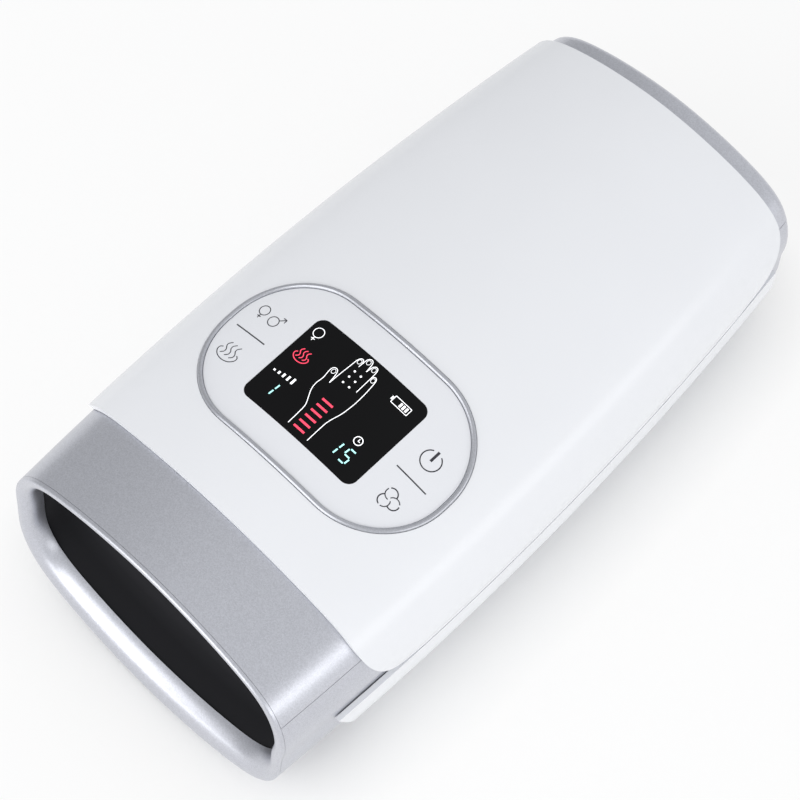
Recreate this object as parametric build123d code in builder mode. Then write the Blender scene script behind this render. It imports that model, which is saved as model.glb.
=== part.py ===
from build123d import *

import os
from math import cos, pi, radians, sin

os.makedirs("parts", exist_ok=True)

# Housing: width runs along X, the hand goes in at -Y, and Z is up. Millimetres throughout.
body_width = 165.0
body_length = 316.0
body_height = 103.0
widest_height = 55.0
foot_proud = 1.5
mouth_slant = 9.0
lean_share = 0.042
waist_share = 0.100
side_power = 1.72
crown_power = 3.9
outline_points = 20
halvings = 30
station_shares = (0, 0.25, 0.5, 0.75, 1)
overrun = 12.0

# White covers over the silver shells
cover_wall = 2.2
cover_gap = 0.4
cover_front_set = 52.8
cover_back_set = 10.0
cover_corner = 33.0
seam_height = 51.2
seam_gap = 1.4
base_tip_lead = 16.5
base_tip_sweep = 44.0
base_sweep_share = 0.30

# Silver shells
shell_wall = 2.4
parting_height = 76.6
parting_gap = 0.25
back_round = 4.0
fit_gap = 0.3

# Rolled lip round the hand opening
lip_side = 7.5
lip_top = 6.5
lip_base = 11.0
lip_front_side = 2.4
lip_front_top = 1.6
lip_front_base = 2.6
lip_depth = 1.8
lip_gap = 0.12
lip_outer_round = 0.9
lip_roll_steps = 3
spigot_depth = 8.6

# Control panel on the crown
panel_width = 121.0
panel_depth = 74.0
panel_corner = 35.0
panel_back_set = 116.1
bezel_width = 2.2
bezel_rise = 0.9
plate_drop = 0.3
window_width = 60.0
window_depth = 45.2
window_corner = 4.2
window_thickness = 1.3
window_gap = 0.15
window_ledge = 1.2

# Display and touch electronics under the panel
module_length = 56.0
module_depth = 41.0
module_height = 6.2
module_top = 97.4
board_thickness = 1.6
key_board_width = 98.0
key_board_depth = 58.0
post_radius = 3.5
post_inset = 8.0
key_screw_length = 4.2
key_pad_radius = 4.0
key_pad_length = 3.6
key_pad_hole_gap = 0.6
key_pad_x = 43.0
key_pad_pitch = 22.0

# Inner trays that carry the cuffs round the hand
tray_half = 66.0
tray_knee = 32.0
tray_floor_half = 52.0
tray_floor = 17.0
tray_ceiling = 76.0
tray_wall = 2.2
tray_front_set = 46.0
tray_back_set = 70.0
rib_height = 4.0
rib_thickness = 2.0
rib_pitch = 32.0
rib_count = 6
rib_half = 58.0

# Liner sleeve
liner_half = 61.5
liner_low = 33.6
liner_high = 68.8
liner_wall = 1.2
liner_flare_set = 27.0
liner_flare_length = 18.0
liner_back_gap = 2.0
liner_power = 3.0
clamp_thickness = 2.0
clamp_depth = 5.0

# Air cuffs, palm plate and heater
cuff_thickness = 6.0
cuff_half = 56.0
cuff_corner = 14.0
cuff_edge = 2.4
cuff_gap = 0.3
cuff_spacing = 6.0
nozzle_radius = 2.5
nozzle_height = 5.0
plate_half = 48.0
plate_front_set = 58.0
plate_length = 176.0
plate_thickness = 2.7
plate_corner = 16.0
stud_base_radius = 4.6
stud_top_radius = 2.4
stud_height = 4.0
stud_pitch_x = 22.0
stud_pitch_y = 27.0
stud_columns = 4
stud_rows = 6
heater_thickness = 0.8
heater_margin = 4.0

# Air pump across the back
pump_back_set = 45.0
pump_height = 36.0
motor_radius = 12.2
motor_length = 31.0
motor_left = -61.0
motor_wall = 1.0
shaft_radius = 1.0
shaft_clearance = 0.05
armature_radius = 9.0
armature_length = 20.0
armature_gap = 3.0
armature_poles = 5
bearing_length = 3.0
head_length = 30.0
head_size = 27.0
head_wall = 2.0
head_corner = 3.0
eccentric_radius = 8.0
eccentric_length = 6.0
eccentric_gap = 1.0
pin_radius = 1.5
pin_offset = 4.0
pin_length = 6.0
yoke_thickness = 2.5
cup_radius = 3.6
cup_ring_radius = 7.0
cup_taper = 4
cover_thickness = 4.0
sleeve_wall = 2.0
sleeve_length = 5.0
sleeve_inset = 4.0
cradle_thickness = 4.0

# Solenoid valves
valve_pitch = 15.0
valve_count = 3
valve_width = 12.0
valve_depth = 16.0
valve_height = 24.0
valve_foot = 19.0
valve_bore_radius = 3.0
valve_clearance = 0.08
plunger_length = 12.0
valve_cap_height = 3.0
valve_seat_height = 6.0
spring_wall = 0.6

# Hoses
hose_radius = 2.5
hose_level = 85.5
hose_bend = 4.2

# Battery
cell_radius = 9.2
cell_length = 65.0
cell_gap = 0.4
battery_back_set = 17.0
battery_foot = 14.5
holder_wall = 1.6
holder_height = 35.0
terminal_radius = 2.8
terminal_length = 1.0

# Boards and charging socket
main_board_half = 44.0
main_board_low = 30.0
main_board_height = 40.0
standoff_length = 3.0
standoff_radius = 2.5
chip_size = 12.0
chip_height = 1.4
can_radius = 2.5
can_height = 3.6
charge_board_width = 34.0
charge_board_depth = 20.0
shelf_height = 58.0
shelf_reach = 9.0
shelf_width = 4.0
socket_width = 9.0
socket_thickness = 3.3
socket_depth = 7.4
socket_wall = 0.4
socket_set = 1.0
tongue_width = 6.6
tongue_thickness = 0.7
ribbon_width = 12.0
ribbon_thickness = 0.5
ribbon_x = -26.0

# Fasteners and feet
screw_radius = 1.3
screw_length = 8.0
screw_head_radius = 2.6
screw_head_height = 1.5
case_screw_height = 66.0
case_screw_shares = (-0.5, 0.12, 0.74)
lug_width = 10.0
lug_thickness = 6.0
lug_reach = 18.0
boss_radius = 4.5
boss_x = 30.0
boss_set = 20.0
foot_radius = 8.0
foot_x = 36.0
foot_y = 84.0
foot_depth = 3.4
foot_edge = 0.6
foot_pad_wall = 1.8
foot_pad_drop = 0.4

half_length = body_length / 2
shell_inset = cover_wall + cover_gap
inner_inset = shell_inset + shell_wall
front_y = -half_length - overrun
cover_front = -half_length + cover_front_set
cover_back = half_length - cover_back_set
panel_y = -half_length + panel_back_set
panel_center = (0, panel_y)
tray_front = -half_length + tray_front_set
tray_back = half_length - tray_back_set
slant = radians(mouth_slant)
mouth_plane = Plane(
    origin=(0, -half_length, 0), x_dir=(1, 0, 0), z_dir=(0, -cos(slant), sin(slant))
)


def half_width(y):
    """Half of the housing's width at y: widest a little before the middle, narrower at the back."""
    along = y / half_length
    return body_width / 2 * (1 - lean_share * along - waist_share * along**2)


def outline(y, side, top, base):
    """Cross-section of the housing at y, drawn in at its sides, top and base."""
    across = half_width(y) - side
    up = body_height - top - widest_height
    down = widest_height - foot_proud - base
    return round_outline(across, up, down, widest_height, side_power, crown_power)


def round_outline(across, up, down, middle, power_x, power_z):
    """Points round a closed curve that is fuller than an ellipse, flat above and bulging beside."""
    points = []
    for step in range(outline_points):
        turn = 2 * pi * step / outline_points
        reach = ray_share(abs(cos(turn)), abs(sin(turn)), power_x, power_z)
        rise = up if sin(turn) > 0 else down
        points.append((across * reach * cos(turn), middle + rise * reach * sin(turn)))
    return points


def ray_share(run, climb, power_x, power_z):
    """How far a ray reaches, as a share of the ellipse, before run**px + climb**pz passes one."""
    near, far = 1, 2
    for _ in range(halvings):
        middle = (near + far) / 2
        if (run * middle) ** power_x + (climb * middle) ** power_z > 1:
            far = middle
        else:
            near = middle
    return near


def section(y, points):
    """Closed section across the housing at y."""
    with BuildSketch(Plane.XZ.offset(-y)) as sketch:
        with BuildLine():
            Spline(points, periodic=True)
        make_face()
    return sketch.sketch


def housing_form(side, top, base, back):
    """The housing's solid form, drawn in by the given amounts and closed at the back."""
    stations = [front_y + share * (back - front_y) for share in station_shares]
    with BuildPart() as form:
        loft([section(y, outline(y, side, top, base)) for y in stations])
    return form.part


def even_form(inset, back):
    return housing_form(inset, inset, inset, back)


def panel_block(width, depth, corner):
    """Upright block with the control panel's outline, through the crown of the housing."""
    with BuildPart() as block:
        with BuildSketch(Plane.XY.offset(parting_height)):
            with Locations(panel_center):
                RectangleRounded(width, depth, corner)
        extrude(amount=body_height + overrun - parting_height)
    return block.part


def finish(name, part):
    part.label = name
    export_step(part, "parts/" + name + ".step")


def mouth_face(form, depth):
    """The flat face of a form where it is cut at a depth behind the slanted mouth."""
    with BuildPart() as piece:
        add(form)
        split(bisect_by=mouth_plane.offset(-depth), keep=Keep.BOTTOM)
    return piece.faces().sort_by(Axis((0, 0, 0), mouth_plane.z_dir))[-1]


def mouth_slice(form, near, far):
    """The part of a form that lies between two depths behind the slanted mouth."""
    with BuildPart() as piece:
        add(form)
        split(bisect_by=mouth_plane.offset(-near), keep=Keep.BOTTOM)
        split(bisect_by=mouth_plane.offset(-far), keep=Keep.TOP)
    return piece.part


# Forms shared by several pieces, each one drawn in a little further than the last
cover_outside = even_form(0, half_length)
cover_inside = even_form(cover_wall, half_length + overrun)
shell_outside = even_form(shell_inset, half_length)
wall_middle = even_form(shell_inset + shell_wall / 2, half_length - shell_wall / 2)
shell_inside = even_form(inner_inset, half_length - shell_wall)
shell_lining = even_form(inner_inset + fit_gap, half_length - shell_wall - fit_gap)
opening_side = shell_inset + lip_side
opening_top = shell_inset + lip_top
opening_base = shell_inset + lip_base

with BuildPart() as shell_body:
    add(shell_outside)
    fillet(shell_body.faces().sort_by(Axis.Y)[-1].edges(), back_round)
    split(bisect_by=mouth_plane.offset(-lip_depth - lip_gap), keep=Keep.BOTTOM)
    add(shell_inside, mode=Mode.SUBTRACT)
with BuildPart() as upper_wall:
    add(shell_body.part)
    split(bisect_by=Plane.XY.offset(parting_height), keep=Keep.TOP)
with BuildPart() as lower_wall:
    add(shell_body.part)
    split(bisect_by=Plane.XY.offset(parting_height - parting_gap), keep=Keep.BOTTOM)

# Top cover: a thin white skin, round-cornered at the seam, open for the panel
with BuildPart() as top_cover:
    add(cover_outside)
    add(cover_inside, mode=Mode.SUBTRACT)
    with BuildSketch(Plane.YZ):
        low = seam_height + seam_gap / 2
        high = body_height + overrun
        with Locations(((cover_front + cover_back) / 2, (low + high) / 2)):
            Rectangle(cover_back - cover_front, high - low)
        fillet(vertices().group_by(Axis.Y)[0], cover_corner)
    extrude(amount=body_width, both=True, mode=Mode.INTERSECT)
    hole_width = panel_width + 2 * window_gap
    hole_depth = panel_depth + 2 * window_gap
    add(panel_block(hole_width, hole_depth, panel_corner + window_gap), mode=Mode.SUBTRACT)
finish("top_cover", top_cover.part)

# Bottom cover: the lower skin, with a swept tip that runs forward under the seam, and foot pads
foot_places = [(side * foot_x, end * foot_y) for side in (-1, 1) for end in (-1, 1)]
with BuildPart() as bottom_cover:
    with BuildSketch(Plane.XY.offset(foot_proud + foot_pad_drop)):
        with Locations(*foot_places):
            Circle(foot_radius + fit_gap + foot_pad_wall)
    extrude(amount=overrun)
    add(cover_outside)
    add(cover_inside, mode=Mode.SUBTRACT)
    with BuildSketch(Plane.YZ):
        with BuildLine():
            seam_line = seam_height - seam_gap / 2
            tip = (cover_front - base_tip_lead, seam_line)
            toe = (tip[0] + base_tip_sweep, -overrun)
            heel = (cover_back, -overrun)
            back_top = (cover_back, seam_line)
            bow = (tip[0] + base_sweep_share * base_tip_sweep, seam_line / 2)
            ThreePointArc(tip, bow, toe)
            Polyline(toe, heel, back_top, tip)
        make_face()
    extrude(amount=body_width, both=True, mode=Mode.INTERSECT)
    with BuildSketch(Plane.XY):
        with Locations(*foot_places):
            Circle(foot_radius + fit_gap)
    extrude(amount=foot_depth + fit_gap, mode=Mode.SUBTRACT)
finish("bottom_cover", bottom_cover.part)

# Silver upper shell: screw lugs hang from its edge, posts carry the key board
key_places = [
    (side * key_pad_x, panel_y + end * key_pad_pitch / 2) for side in (-1, 1) for end in (-1, 1)
]
key_board_top = module_top - module_height - fit_gap
key_board_low = key_board_top - board_thickness
post_x = key_board_width / 2 - post_inset
post_y = key_board_depth / 2 - post_inset
post_places = [(side * post_x, panel_y + end * post_y) for side in (-1, 1) for end in (-1, 1)]
screw_places = [share * half_length for share in case_screw_shares]


def lug_blocks(low, high):
    """Blocks just inside the side walls, one at each case screw."""
    with BuildPart() as blocks:
        with BuildSketch(Plane.XY.offset(low)):
            for y in screw_places:
                middle = half_width(y) - inner_inset
                with Locations((middle, y), (-middle, y)):
                    Rectangle(2 * lug_thickness, lug_width)
        extrude(amount=high - low)
    return blocks.part


with BuildPart() as shell_lugs:
    add(lug_blocks(parting_height - lug_reach, parting_height + lug_thickness))
    add(shell_lining, mode=Mode.INTERSECT)
with BuildPart() as shell_roots:
    add(lug_blocks(parting_height, parting_height + lug_thickness))
    with BuildSketch(Plane.XY.offset(key_board_top)):
        with Locations(*post_places):
            Circle(post_radius)
    extrude(amount=body_height - key_board_top)
    add(wall_middle, mode=Mode.INTERSECT)
with BuildPart() as upper_cuts:
    with BuildSketch(Plane.XY.offset(key_board_top)):
        with Locations(panel_center):
            Rectangle(module_length + 2 * fit_gap, module_depth + 2 * fit_gap)
        with Locations(*key_places):
            Circle(key_pad_radius + key_pad_hole_gap)
    extrude(amount=body_height)
    with BuildSketch(Plane.XY.offset(key_board_low)):
        with Locations(*post_places):
            Circle(screw_radius)
    extrude(amount=key_screw_length)
    with BuildSketch(Plane.YZ):
        with Locations(*[(y, case_screw_height) for y in screw_places]):
            Circle(screw_radius)
    extrude(amount=body_width, both=True)
with BuildPart() as upper_shell:
    add(upper_wall.part)
    add(shell_lugs.part)
    add(shell_roots.part)
    add(upper_cuts.part, mode=Mode.SUBTRACT)
finish("upper_body_shell", upper_shell.part)

# Silver lower shell: bosses, ribs and shelves rise from its floor to carry the works
pump_y = half_length - pump_back_set
battery_y = half_length - battery_back_set
motor_right = motor_left + motor_length
sleeve_radius = motor_radius + sleeve_wall
sleeve_places = [
    motor_left + sleeve_inset + sleeve_length / 2,
    motor_right - sleeve_inset - sleeve_length / 2,
]
pump_outlet = motor_right + head_length + cover_thickness + nozzle_height
valve_first = pump_outlet + fit_gap + valve_pitch - valve_width / 2
valve_places = [valve_first + step * valve_pitch for step in range(valve_count)]
boss_places = [
    (side * boss_x, y)
    for side in (-1, 1)
    for y in (tray_front + boss_set, (tray_front + tray_back) / 2, tray_back - boss_set)
]
cell_low = battery_foot + holder_wall + fit_gap
holder_half = cell_length / 2 + fit_gap + holder_wall
holder_depth = 2 * (cell_radius + fit_gap + holder_wall)
socket_low = shelf_height + board_thickness
socket_middle = socket_low + socket_thickness / 2
charge_board_back = half_length - shell_wall - fit_gap

with BuildPart() as floor_supports:
    with BuildSketch(Plane.XY):
        with Locations(*boss_places):
            Circle(boss_radius)
    extrude(amount=tray_floor)
    with BuildSketch(Plane.XY):
        for x in sleeve_places:
            with Locations((x, pump_y)):
                Rectangle(sleeve_length, 2 * sleeve_radius + cradle_thickness)
    extrude(amount=pump_height)
    with BuildSketch(Plane.XY):
        with Locations(((valve_places[0] + valve_places[-1]) / 2, pump_y)):
            Rectangle(valve_places[-1] - valve_places[0] + valve_width, cradle_thickness)
    extrude(amount=valve_foot)
    with BuildSketch(Plane.XY):
        with Locations((-cell_length / 4, battery_y), (cell_length / 4, battery_y)):
            Rectangle(cradle_thickness, holder_depth)
    extrude(amount=battery_foot)
    with BuildSketch(Plane.XY.offset(shelf_height - shelf_width)):
        shelf_x = charge_board_width / 2 - shelf_width / 2
        shelf_y = half_length - shelf_reach
        with Locations((shelf_x, shelf_y), (-shelf_x, shelf_y)):
            Rectangle(shelf_width, 2 * shelf_reach)
    extrude(amount=shelf_width)
    with BuildSketch(Plane.YZ):
        with Locations((pump_y, pump_height)):
            Circle(sleeve_radius)
    extrude(amount=body_width, both=True, mode=Mode.SUBTRACT)
    with BuildSketch(Plane.XY.offset(tray_floor - screw_length)):
        with Locations(*boss_places):
            Circle(screw_radius)
    extrude(amount=screw_length, mode=Mode.SUBTRACT)
    add(wall_middle, mode=Mode.INTERSECT)
with BuildPart() as lower_cuts:
    for y in screw_places:
        seat = half_width(y) - shell_inset - screw_head_height
        for side in (-1, 1):
            with BuildSketch(Plane.YZ.offset(side * seat)):
                with Locations((y, case_screw_height)):
                    Circle(screw_head_radius + fit_gap)
            extrude(amount=side * overrun)
            with BuildSketch(Plane.YZ.offset(side * seat)):
                with Locations((y, case_screw_height)):
                    Circle(screw_radius + fit_gap)
            extrude(amount=-side * screw_length)
    with BuildSketch(Plane.XZ.offset(-charge_board_back)):
        with Locations((0, socket_middle)):
            slot_height = socket_thickness + 2 * fit_gap
            RectangleRounded(socket_width + 2 * fit_gap, slot_height, slot_height / 2 - window_gap)
    extrude(amount=-overrun)
with BuildPart() as lower_shell:
    add(lower_wall.part)
    add(floor_supports.part)
    add(lower_cuts.part, mode=Mode.SUBTRACT)
finish("lower_body_shell", lower_shell.part)

# Mouth ring: a lip that rolls inwards from the front of the shells to a spigot inside them
roll_faces = []
for step in range(lip_roll_steps + 1):
    turn = step / lip_roll_steps * pi / 2
    side = lip_front_side + (lip_side - lip_front_side) * sin(turn)
    top = lip_front_top + (lip_top - lip_front_top) * sin(turn)
    base = lip_front_base + (lip_base - lip_front_base) * sin(turn)
    form = housing_form(shell_inset + side, shell_inset + top, shell_inset + base, half_length)
    roll_faces.append(mouth_face(form, spigot_depth * (1 - cos(turn))))
with BuildPart() as mouth_ring:
    add(mouth_slice(shell_outside, 0, lip_depth))
    add(mouth_slice(shell_lining, lip_depth, spigot_depth))
    add(loft(roll_faces), mode=Mode.SUBTRACT)
    lip_axis = Axis((0, 0, 0), mouth_plane.z_dir)
    lip_edges = mouth_ring.faces().sort_by(lip_axis)[-1].edges().sort_by(SortBy.LENGTH)
    fillet(lip_edges[-1], lip_outer_round)
finish("mouth_ring", mouth_ring.part)

# Control panel: a silver ring, a white touch plate with a ledge, and a black window laid in it
plate_width = panel_width - 2 * bezel_width
plate_depth = panel_depth - 2 * bezel_width
plate_corner_radius = panel_corner - bezel_width
raised_form = even_form(-bezel_rise, half_length)
plate_form = even_form(plate_drop, half_length)
window_floor = even_form(plate_drop + window_thickness, half_length)
with BuildPart() as panel_bezel:
    add(panel_block(panel_width, panel_depth, panel_corner))
    add(panel_block(plate_width, plate_depth, plate_corner_radius), mode=Mode.SUBTRACT)
    add(raised_form, mode=Mode.INTERSECT)
    add(cover_inside, mode=Mode.SUBTRACT)
finish("panel_bezel", panel_bezel.part)

inner_corner = window_corner - window_ledge
window_block = panel_block(window_width, window_depth, window_corner)
with BuildPart() as window_pocket:
    gap = 2 * window_gap
    add(panel_block(window_width + gap, window_depth + gap, window_corner + window_gap))
    add(window_floor, mode=Mode.SUBTRACT)
with BuildPart() as touch_plate:
    gap = 2 * window_gap
    add(panel_block(plate_width - gap, plate_depth - gap, plate_corner_radius - window_gap))
    add(plate_form, mode=Mode.INTERSECT)
    add(cover_inside, mode=Mode.SUBTRACT)
    add(window_pocket.part, mode=Mode.SUBTRACT)
    ledge = 2 * window_ledge
    light_hole = panel_block(window_width - ledge, window_depth - ledge, inner_corner)
    add(light_hole, mode=Mode.SUBTRACT)
finish("touch_plate", touch_plate.part)

with BuildPart() as display_window:
    add(window_block)
    add(plate_form, mode=Mode.INTERSECT)
    add(window_floor, mode=Mode.SUBTRACT)
finish("display_window", display_window.part)

# Display module and key board, hung from posts under the crown, with a sensing pad below each key
with BuildPart() as display_module:
    with BuildSketch(Plane.XY.offset(key_board_top + fit_gap)):
        with Locations(panel_center):
            Rectangle(module_length, module_depth)
    extrude(amount=module_height)
    chamfer(display_module.faces().sort_by(Axis.Z)[-1].edges(), window_ledge)
finish("display_module", display_module.part)

with BuildPart() as key_board:
    with BuildSketch(Plane.XY.offset(key_board_low)):
        with Locations(panel_center):
            RectangleRounded(key_board_width, key_board_depth, post_inset)
        with Locations(*post_places):
            Circle(screw_radius, mode=Mode.SUBTRACT)
    extrude(amount=board_thickness)
finish("key_board", key_board.part)

with BuildPart() as key_pads:
    with BuildSketch(Plane.XY.offset(key_board_top + fit_gap)):
        with Locations(*key_places):
            Circle(key_pad_radius)
            Circle(key_pad_radius - motor_wall, mode=Mode.SUBTRACT)
    extrude(amount=key_pad_length)
finish("key_pads", key_pads.part)

# Liner sleeve: flared from the mouth to a flat pocket, closed at the back; a ring clamps its hem
liner_middle = (liner_low + liner_high) / 2
liner_rise = (liner_high - liner_low) / 2
flare_start = -half_length + liner_flare_set
flare_end = flare_start + liner_flare_length
liner_back = tray_back - tray_wall - liner_back_gap


def liner_form(inset, back):
    """The sleeve's outer form, drawn in by inset and closed at its back."""
    hem = liner_wall + fit_gap - inset
    mouth = (opening_side - hem, opening_top - hem, opening_base - hem)
    rise = liner_rise - inset
    pocket = round_outline(
        liner_half - inset, rise, rise, liner_middle, liner_power, liner_power
    )
    with BuildPart() as form:
        loft(
            [
                section(front_y, outline(front_y, *mouth)),
                section(flare_start, outline(flare_start, *mouth)),
                section(flare_end, pocket),
                section(back, pocket),
            ],
            ruled=True,
        )
    return form.part


with BuildPart() as liner:
    add(liner_form(0, liner_back))
    add(liner_form(liner_wall, liner_back - liner_wall), mode=Mode.SUBTRACT)
    split(bisect_by=mouth_plane.offset(-spigot_depth - fit_gap), keep=Keep.BOTTOM)
finish("liner", liner.part)

hem_inset = liner_wall + fit_gap
clamp_outer = hem_inset + fit_gap + clamp_thickness
clamp_inner = hem_inset + fit_gap


def hem_form(grow):
    """The opening's form, grown outwards."""
    return housing_form(
        opening_side - grow, opening_top - grow, opening_base - grow, half_length
    )


with BuildPart() as liner_clamp:
    add(mouth_slice(hem_form(clamp_outer), spigot_depth, spigot_depth + clamp_depth))
    add(hem_form(clamp_inner), mode=Mode.SUBTRACT)
finish("liner_clamp", liner_clamp.part)

# Lower tray: a moulded trough with a rear wall, screwed to six bosses
cuff_places = []
tray_length = tray_back - tray_front
cuff_length = (tray_length - 4 * cuff_spacing) / 3
for step in range(3):
    step_back = cuff_spacing + cuff_length / 2 + step * (cuff_length + cuff_spacing)
    cuff_places.append(tray_back - step_back)
lower_cuff_low = tray_floor + tray_wall + cuff_gap
lower_cuff_middle = lower_cuff_low + cuff_thickness / 2
heater_low = lower_cuff_low + cuff_thickness + cuff_gap
plate_low = heater_low + heater_thickness
plate_top = plate_low + plate_thickness
plate_y = -half_length + plate_front_set + plate_length / 2
lower_cuff_x = valve_places[1]


def trough_outline(draw, top):
    """Cross-section of the trough, drawn in by draw, closed across at top."""
    half = tray_half - draw
    floor_half = tray_floor_half - draw / 2
    low = tray_floor + draw
    right = [(floor_half, low), (half, tray_knee), (half, top)]
    return [(-x, z) for x, z in reversed(right)] + right


with BuildPart() as lower_tray:
    with BuildSketch(Plane.XZ.offset(-tray_back)):
        with BuildLine():
            Polyline(*trough_outline(0, tray_ceiling), close=True)
        make_face()
    extrude(amount=tray_length)
    with BuildSketch(Plane.XZ.offset(-(tray_back - tray_wall))):
        with BuildLine():
            Polyline(*trough_outline(tray_wall, tray_ceiling), close=True)
        make_face()
    extrude(amount=tray_length, mode=Mode.SUBTRACT)
    with BuildSketch(Plane.XY.offset(tray_floor)):
        with Locations(*boss_places):
            Circle(screw_radius + fit_gap)
    extrude(amount=tray_wall, mode=Mode.SUBTRACT)
    with BuildSketch(Plane.XY.offset(tray_floor + tray_wall - screw_head_height)):
        with Locations(*boss_places):
            Circle(screw_head_radius + fit_gap)
    extrude(amount=screw_head_height, mode=Mode.SUBTRACT)
    with BuildSketch(Plane.XZ.offset(-tray_back)):
        with Locations((lower_cuff_x, lower_cuff_middle)):
            Circle(nozzle_radius + fit_gap)
    extrude(amount=tray_wall, mode=Mode.SUBTRACT)
    with BuildSketch(Plane.XZ.offset(-tray_back)):
        for z in (main_board_low + post_inset, main_board_low + main_board_height - post_inset):
            with Locations((main_board_half - post_inset, z), (post_inset - main_board_half, z)):
                Circle(standoff_radius)
    extrude(amount=-standoff_length)
finish("lower_tray", lower_tray.part)

# Upper tray: a ribbed ceiling on the trough's walls, with a hole for each cuff's nozzle
with BuildPart() as upper_tray:
    with BuildSketch(Plane.XY.offset(tray_ceiling)):
        with Locations((0, (tray_front + tray_back) / 2)):
            Rectangle(2 * tray_half, tray_length)
    extrude(amount=tray_wall)
    with BuildSketch(Plane.XY.offset(tray_ceiling + tray_wall)):
        with Locations((0, (tray_front + tray_back) / 2)):
            with GridLocations(rib_pitch, rib_pitch, 1, rib_count):
                Rectangle(2 * rib_half, rib_thickness)
    extrude(amount=rib_height)
    with BuildSketch(Plane.XY.offset(tray_ceiling)):
        with Locations(*zip(valve_places, cuff_places)):
            Circle(nozzle_radius + fit_gap)
    extrude(amount=tray_wall, mode=Mode.SUBTRACT)
finish("upper_tray", upper_tray.part)


def cuff(width, length, y, low):
    """A flat air cuff with welded edges."""
    with BuildPart() as bag:
        with BuildSketch(Plane.XY.offset(low)):
            with Locations((0, y)):
                RectangleRounded(width, length, cuff_corner)
        extrude(amount=cuff_thickness)
        chamfer(bag.faces().filter_by(Axis.Z).edges(), cuff_edge)
    return bag.part


upper_cuff_low = tray_ceiling - cuff_gap - cuff_thickness
cuff_names = ("finger_cuff", "palm_cuff", "wrist_cuff")
for name, x, y in zip(cuff_names, valve_places, cuff_places):
    with BuildPart() as upper_cuff:
        add(cuff(2 * cuff_half, cuff_length, y, upper_cuff_low))
        with BuildSketch(Plane.XY.offset(upper_cuff_low + cuff_thickness)):
            with Locations((x, y)):
                Circle(nozzle_radius)
        extrude(amount=nozzle_height)
    finish(name, upper_cuff.part)

with BuildPart() as lift_cuff:
    add(cuff(2 * plate_half, plate_length, plate_y, lower_cuff_low))
    with BuildSketch(Plane.XZ.offset(-(plate_y + plate_length / 2))):
        with Locations((lower_cuff_x, lower_cuff_middle)):
            Circle(nozzle_radius)
    extrude(amount=-(tray_back + nozzle_height - plate_y - plate_length / 2))
finish("lift_cuff", lift_cuff.part)

# Palm plate with its field of acupressure studs, and the heater film stuck under it
with BuildPart() as palm_plate:
    with BuildSketch(Plane.XY.offset(plate_low)):
        with Locations((0, plate_y)):
            RectangleRounded(2 * plate_half, plate_length, plate_corner)
    extrude(amount=plate_thickness)
    with Locations((0, plate_y, plate_top)):
        with GridLocations(stud_pitch_x, stud_pitch_y, stud_columns, stud_rows):
            seat = (Align.CENTER, Align.CENTER, Align.MIN)
            Cone(stud_base_radius, stud_top_radius, stud_height, align=seat)
finish("palm_plate", palm_plate.part)

with BuildPart() as heater_film:
    with BuildSketch(Plane.XY.offset(heater_low)):
        with Locations((0, plate_y)):
            film_width = 2 * (plate_half - heater_margin)
            film_length = plate_length - 2 * heater_margin
            RectangleRounded(film_width, film_length, plate_corner - heater_margin)
    extrude(amount=heater_thickness)
finish("heater_film", heater_film.part)

# Pump motor: a closed can in two rubber sleeves, with a five-pole armature on its shaft
shaft_hole = shaft_radius + shaft_clearance
can_bore = motor_radius - motor_wall
shaft_left = motor_left + motor_wall
with BuildPart() as motor_can:
    with BuildSketch(Plane.YZ.offset(motor_left)):
        with Locations((pump_y, pump_height)):
            Circle(motor_radius)
    extrude(amount=motor_length)
    chamfer(motor_can.edges().filter_by(GeomType.CIRCLE), motor_wall / 2)
    with BuildSketch(Plane.YZ.offset(motor_left + motor_wall)):
        with Locations((pump_y, pump_height)):
            Circle(can_bore)
    extrude(amount=motor_length - 2 * motor_wall, mode=Mode.SUBTRACT)
    with BuildSketch(Plane.YZ.offset(shaft_left)):
        with Locations((pump_y, pump_height)):
            Circle(armature_radius - armature_gap)
            Circle(shaft_hole, mode=Mode.SUBTRACT)
    extrude(amount=bearing_length)
    with BuildSketch(Plane.YZ.offset(motor_right)):
        with Locations((pump_y, pump_height)):
            Circle(shaft_hole)
    extrude(amount=-motor_wall, mode=Mode.SUBTRACT)
finish("motor_can", motor_can.part)

armature_left = shaft_left + bearing_length + motor_wall
head_left = motor_right
disc_left = head_left + head_wall + eccentric_gap
disc_right = disc_left + eccentric_length
with BuildPart() as motor_armature:
    with BuildSketch(Plane.YZ.offset(armature_left)):
        with Locations((pump_y, pump_height)):
            Circle(armature_radius)
            with PolarLocations(armature_radius, armature_poles):
                Rectangle(armature_radius, armature_gap / 2, mode=Mode.SUBTRACT)
    extrude(amount=armature_length)
    with BuildSketch(Plane.YZ.offset(shaft_left + shaft_clearance)):
        with Locations((pump_y, pump_height)):
            Circle(shaft_radius)
    extrude(amount=disc_right - shaft_left - shaft_clearance)
finish("motor_armature", motor_armature.part)

with BuildPart() as crank_disc:
    with BuildSketch(Plane.YZ.offset(disc_left)):
        with Locations((pump_y, pump_height)):
            Circle(eccentric_radius)
            Circle(shaft_radius, mode=Mode.SUBTRACT)
    extrude(amount=eccentric_length)
    chamfer(crank_disc.faces().sort_by(Axis.X)[-1].edges().sort_by(SortBy.LENGTH)[-1], motor_wall)
    with BuildSketch(Plane.YZ.offset(disc_right)):
        with Locations((pump_y + pin_offset, pump_height)):
            Circle(pin_radius)
    extrude(amount=pin_length)
finish("crank_disc", crank_disc.part)

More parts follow.
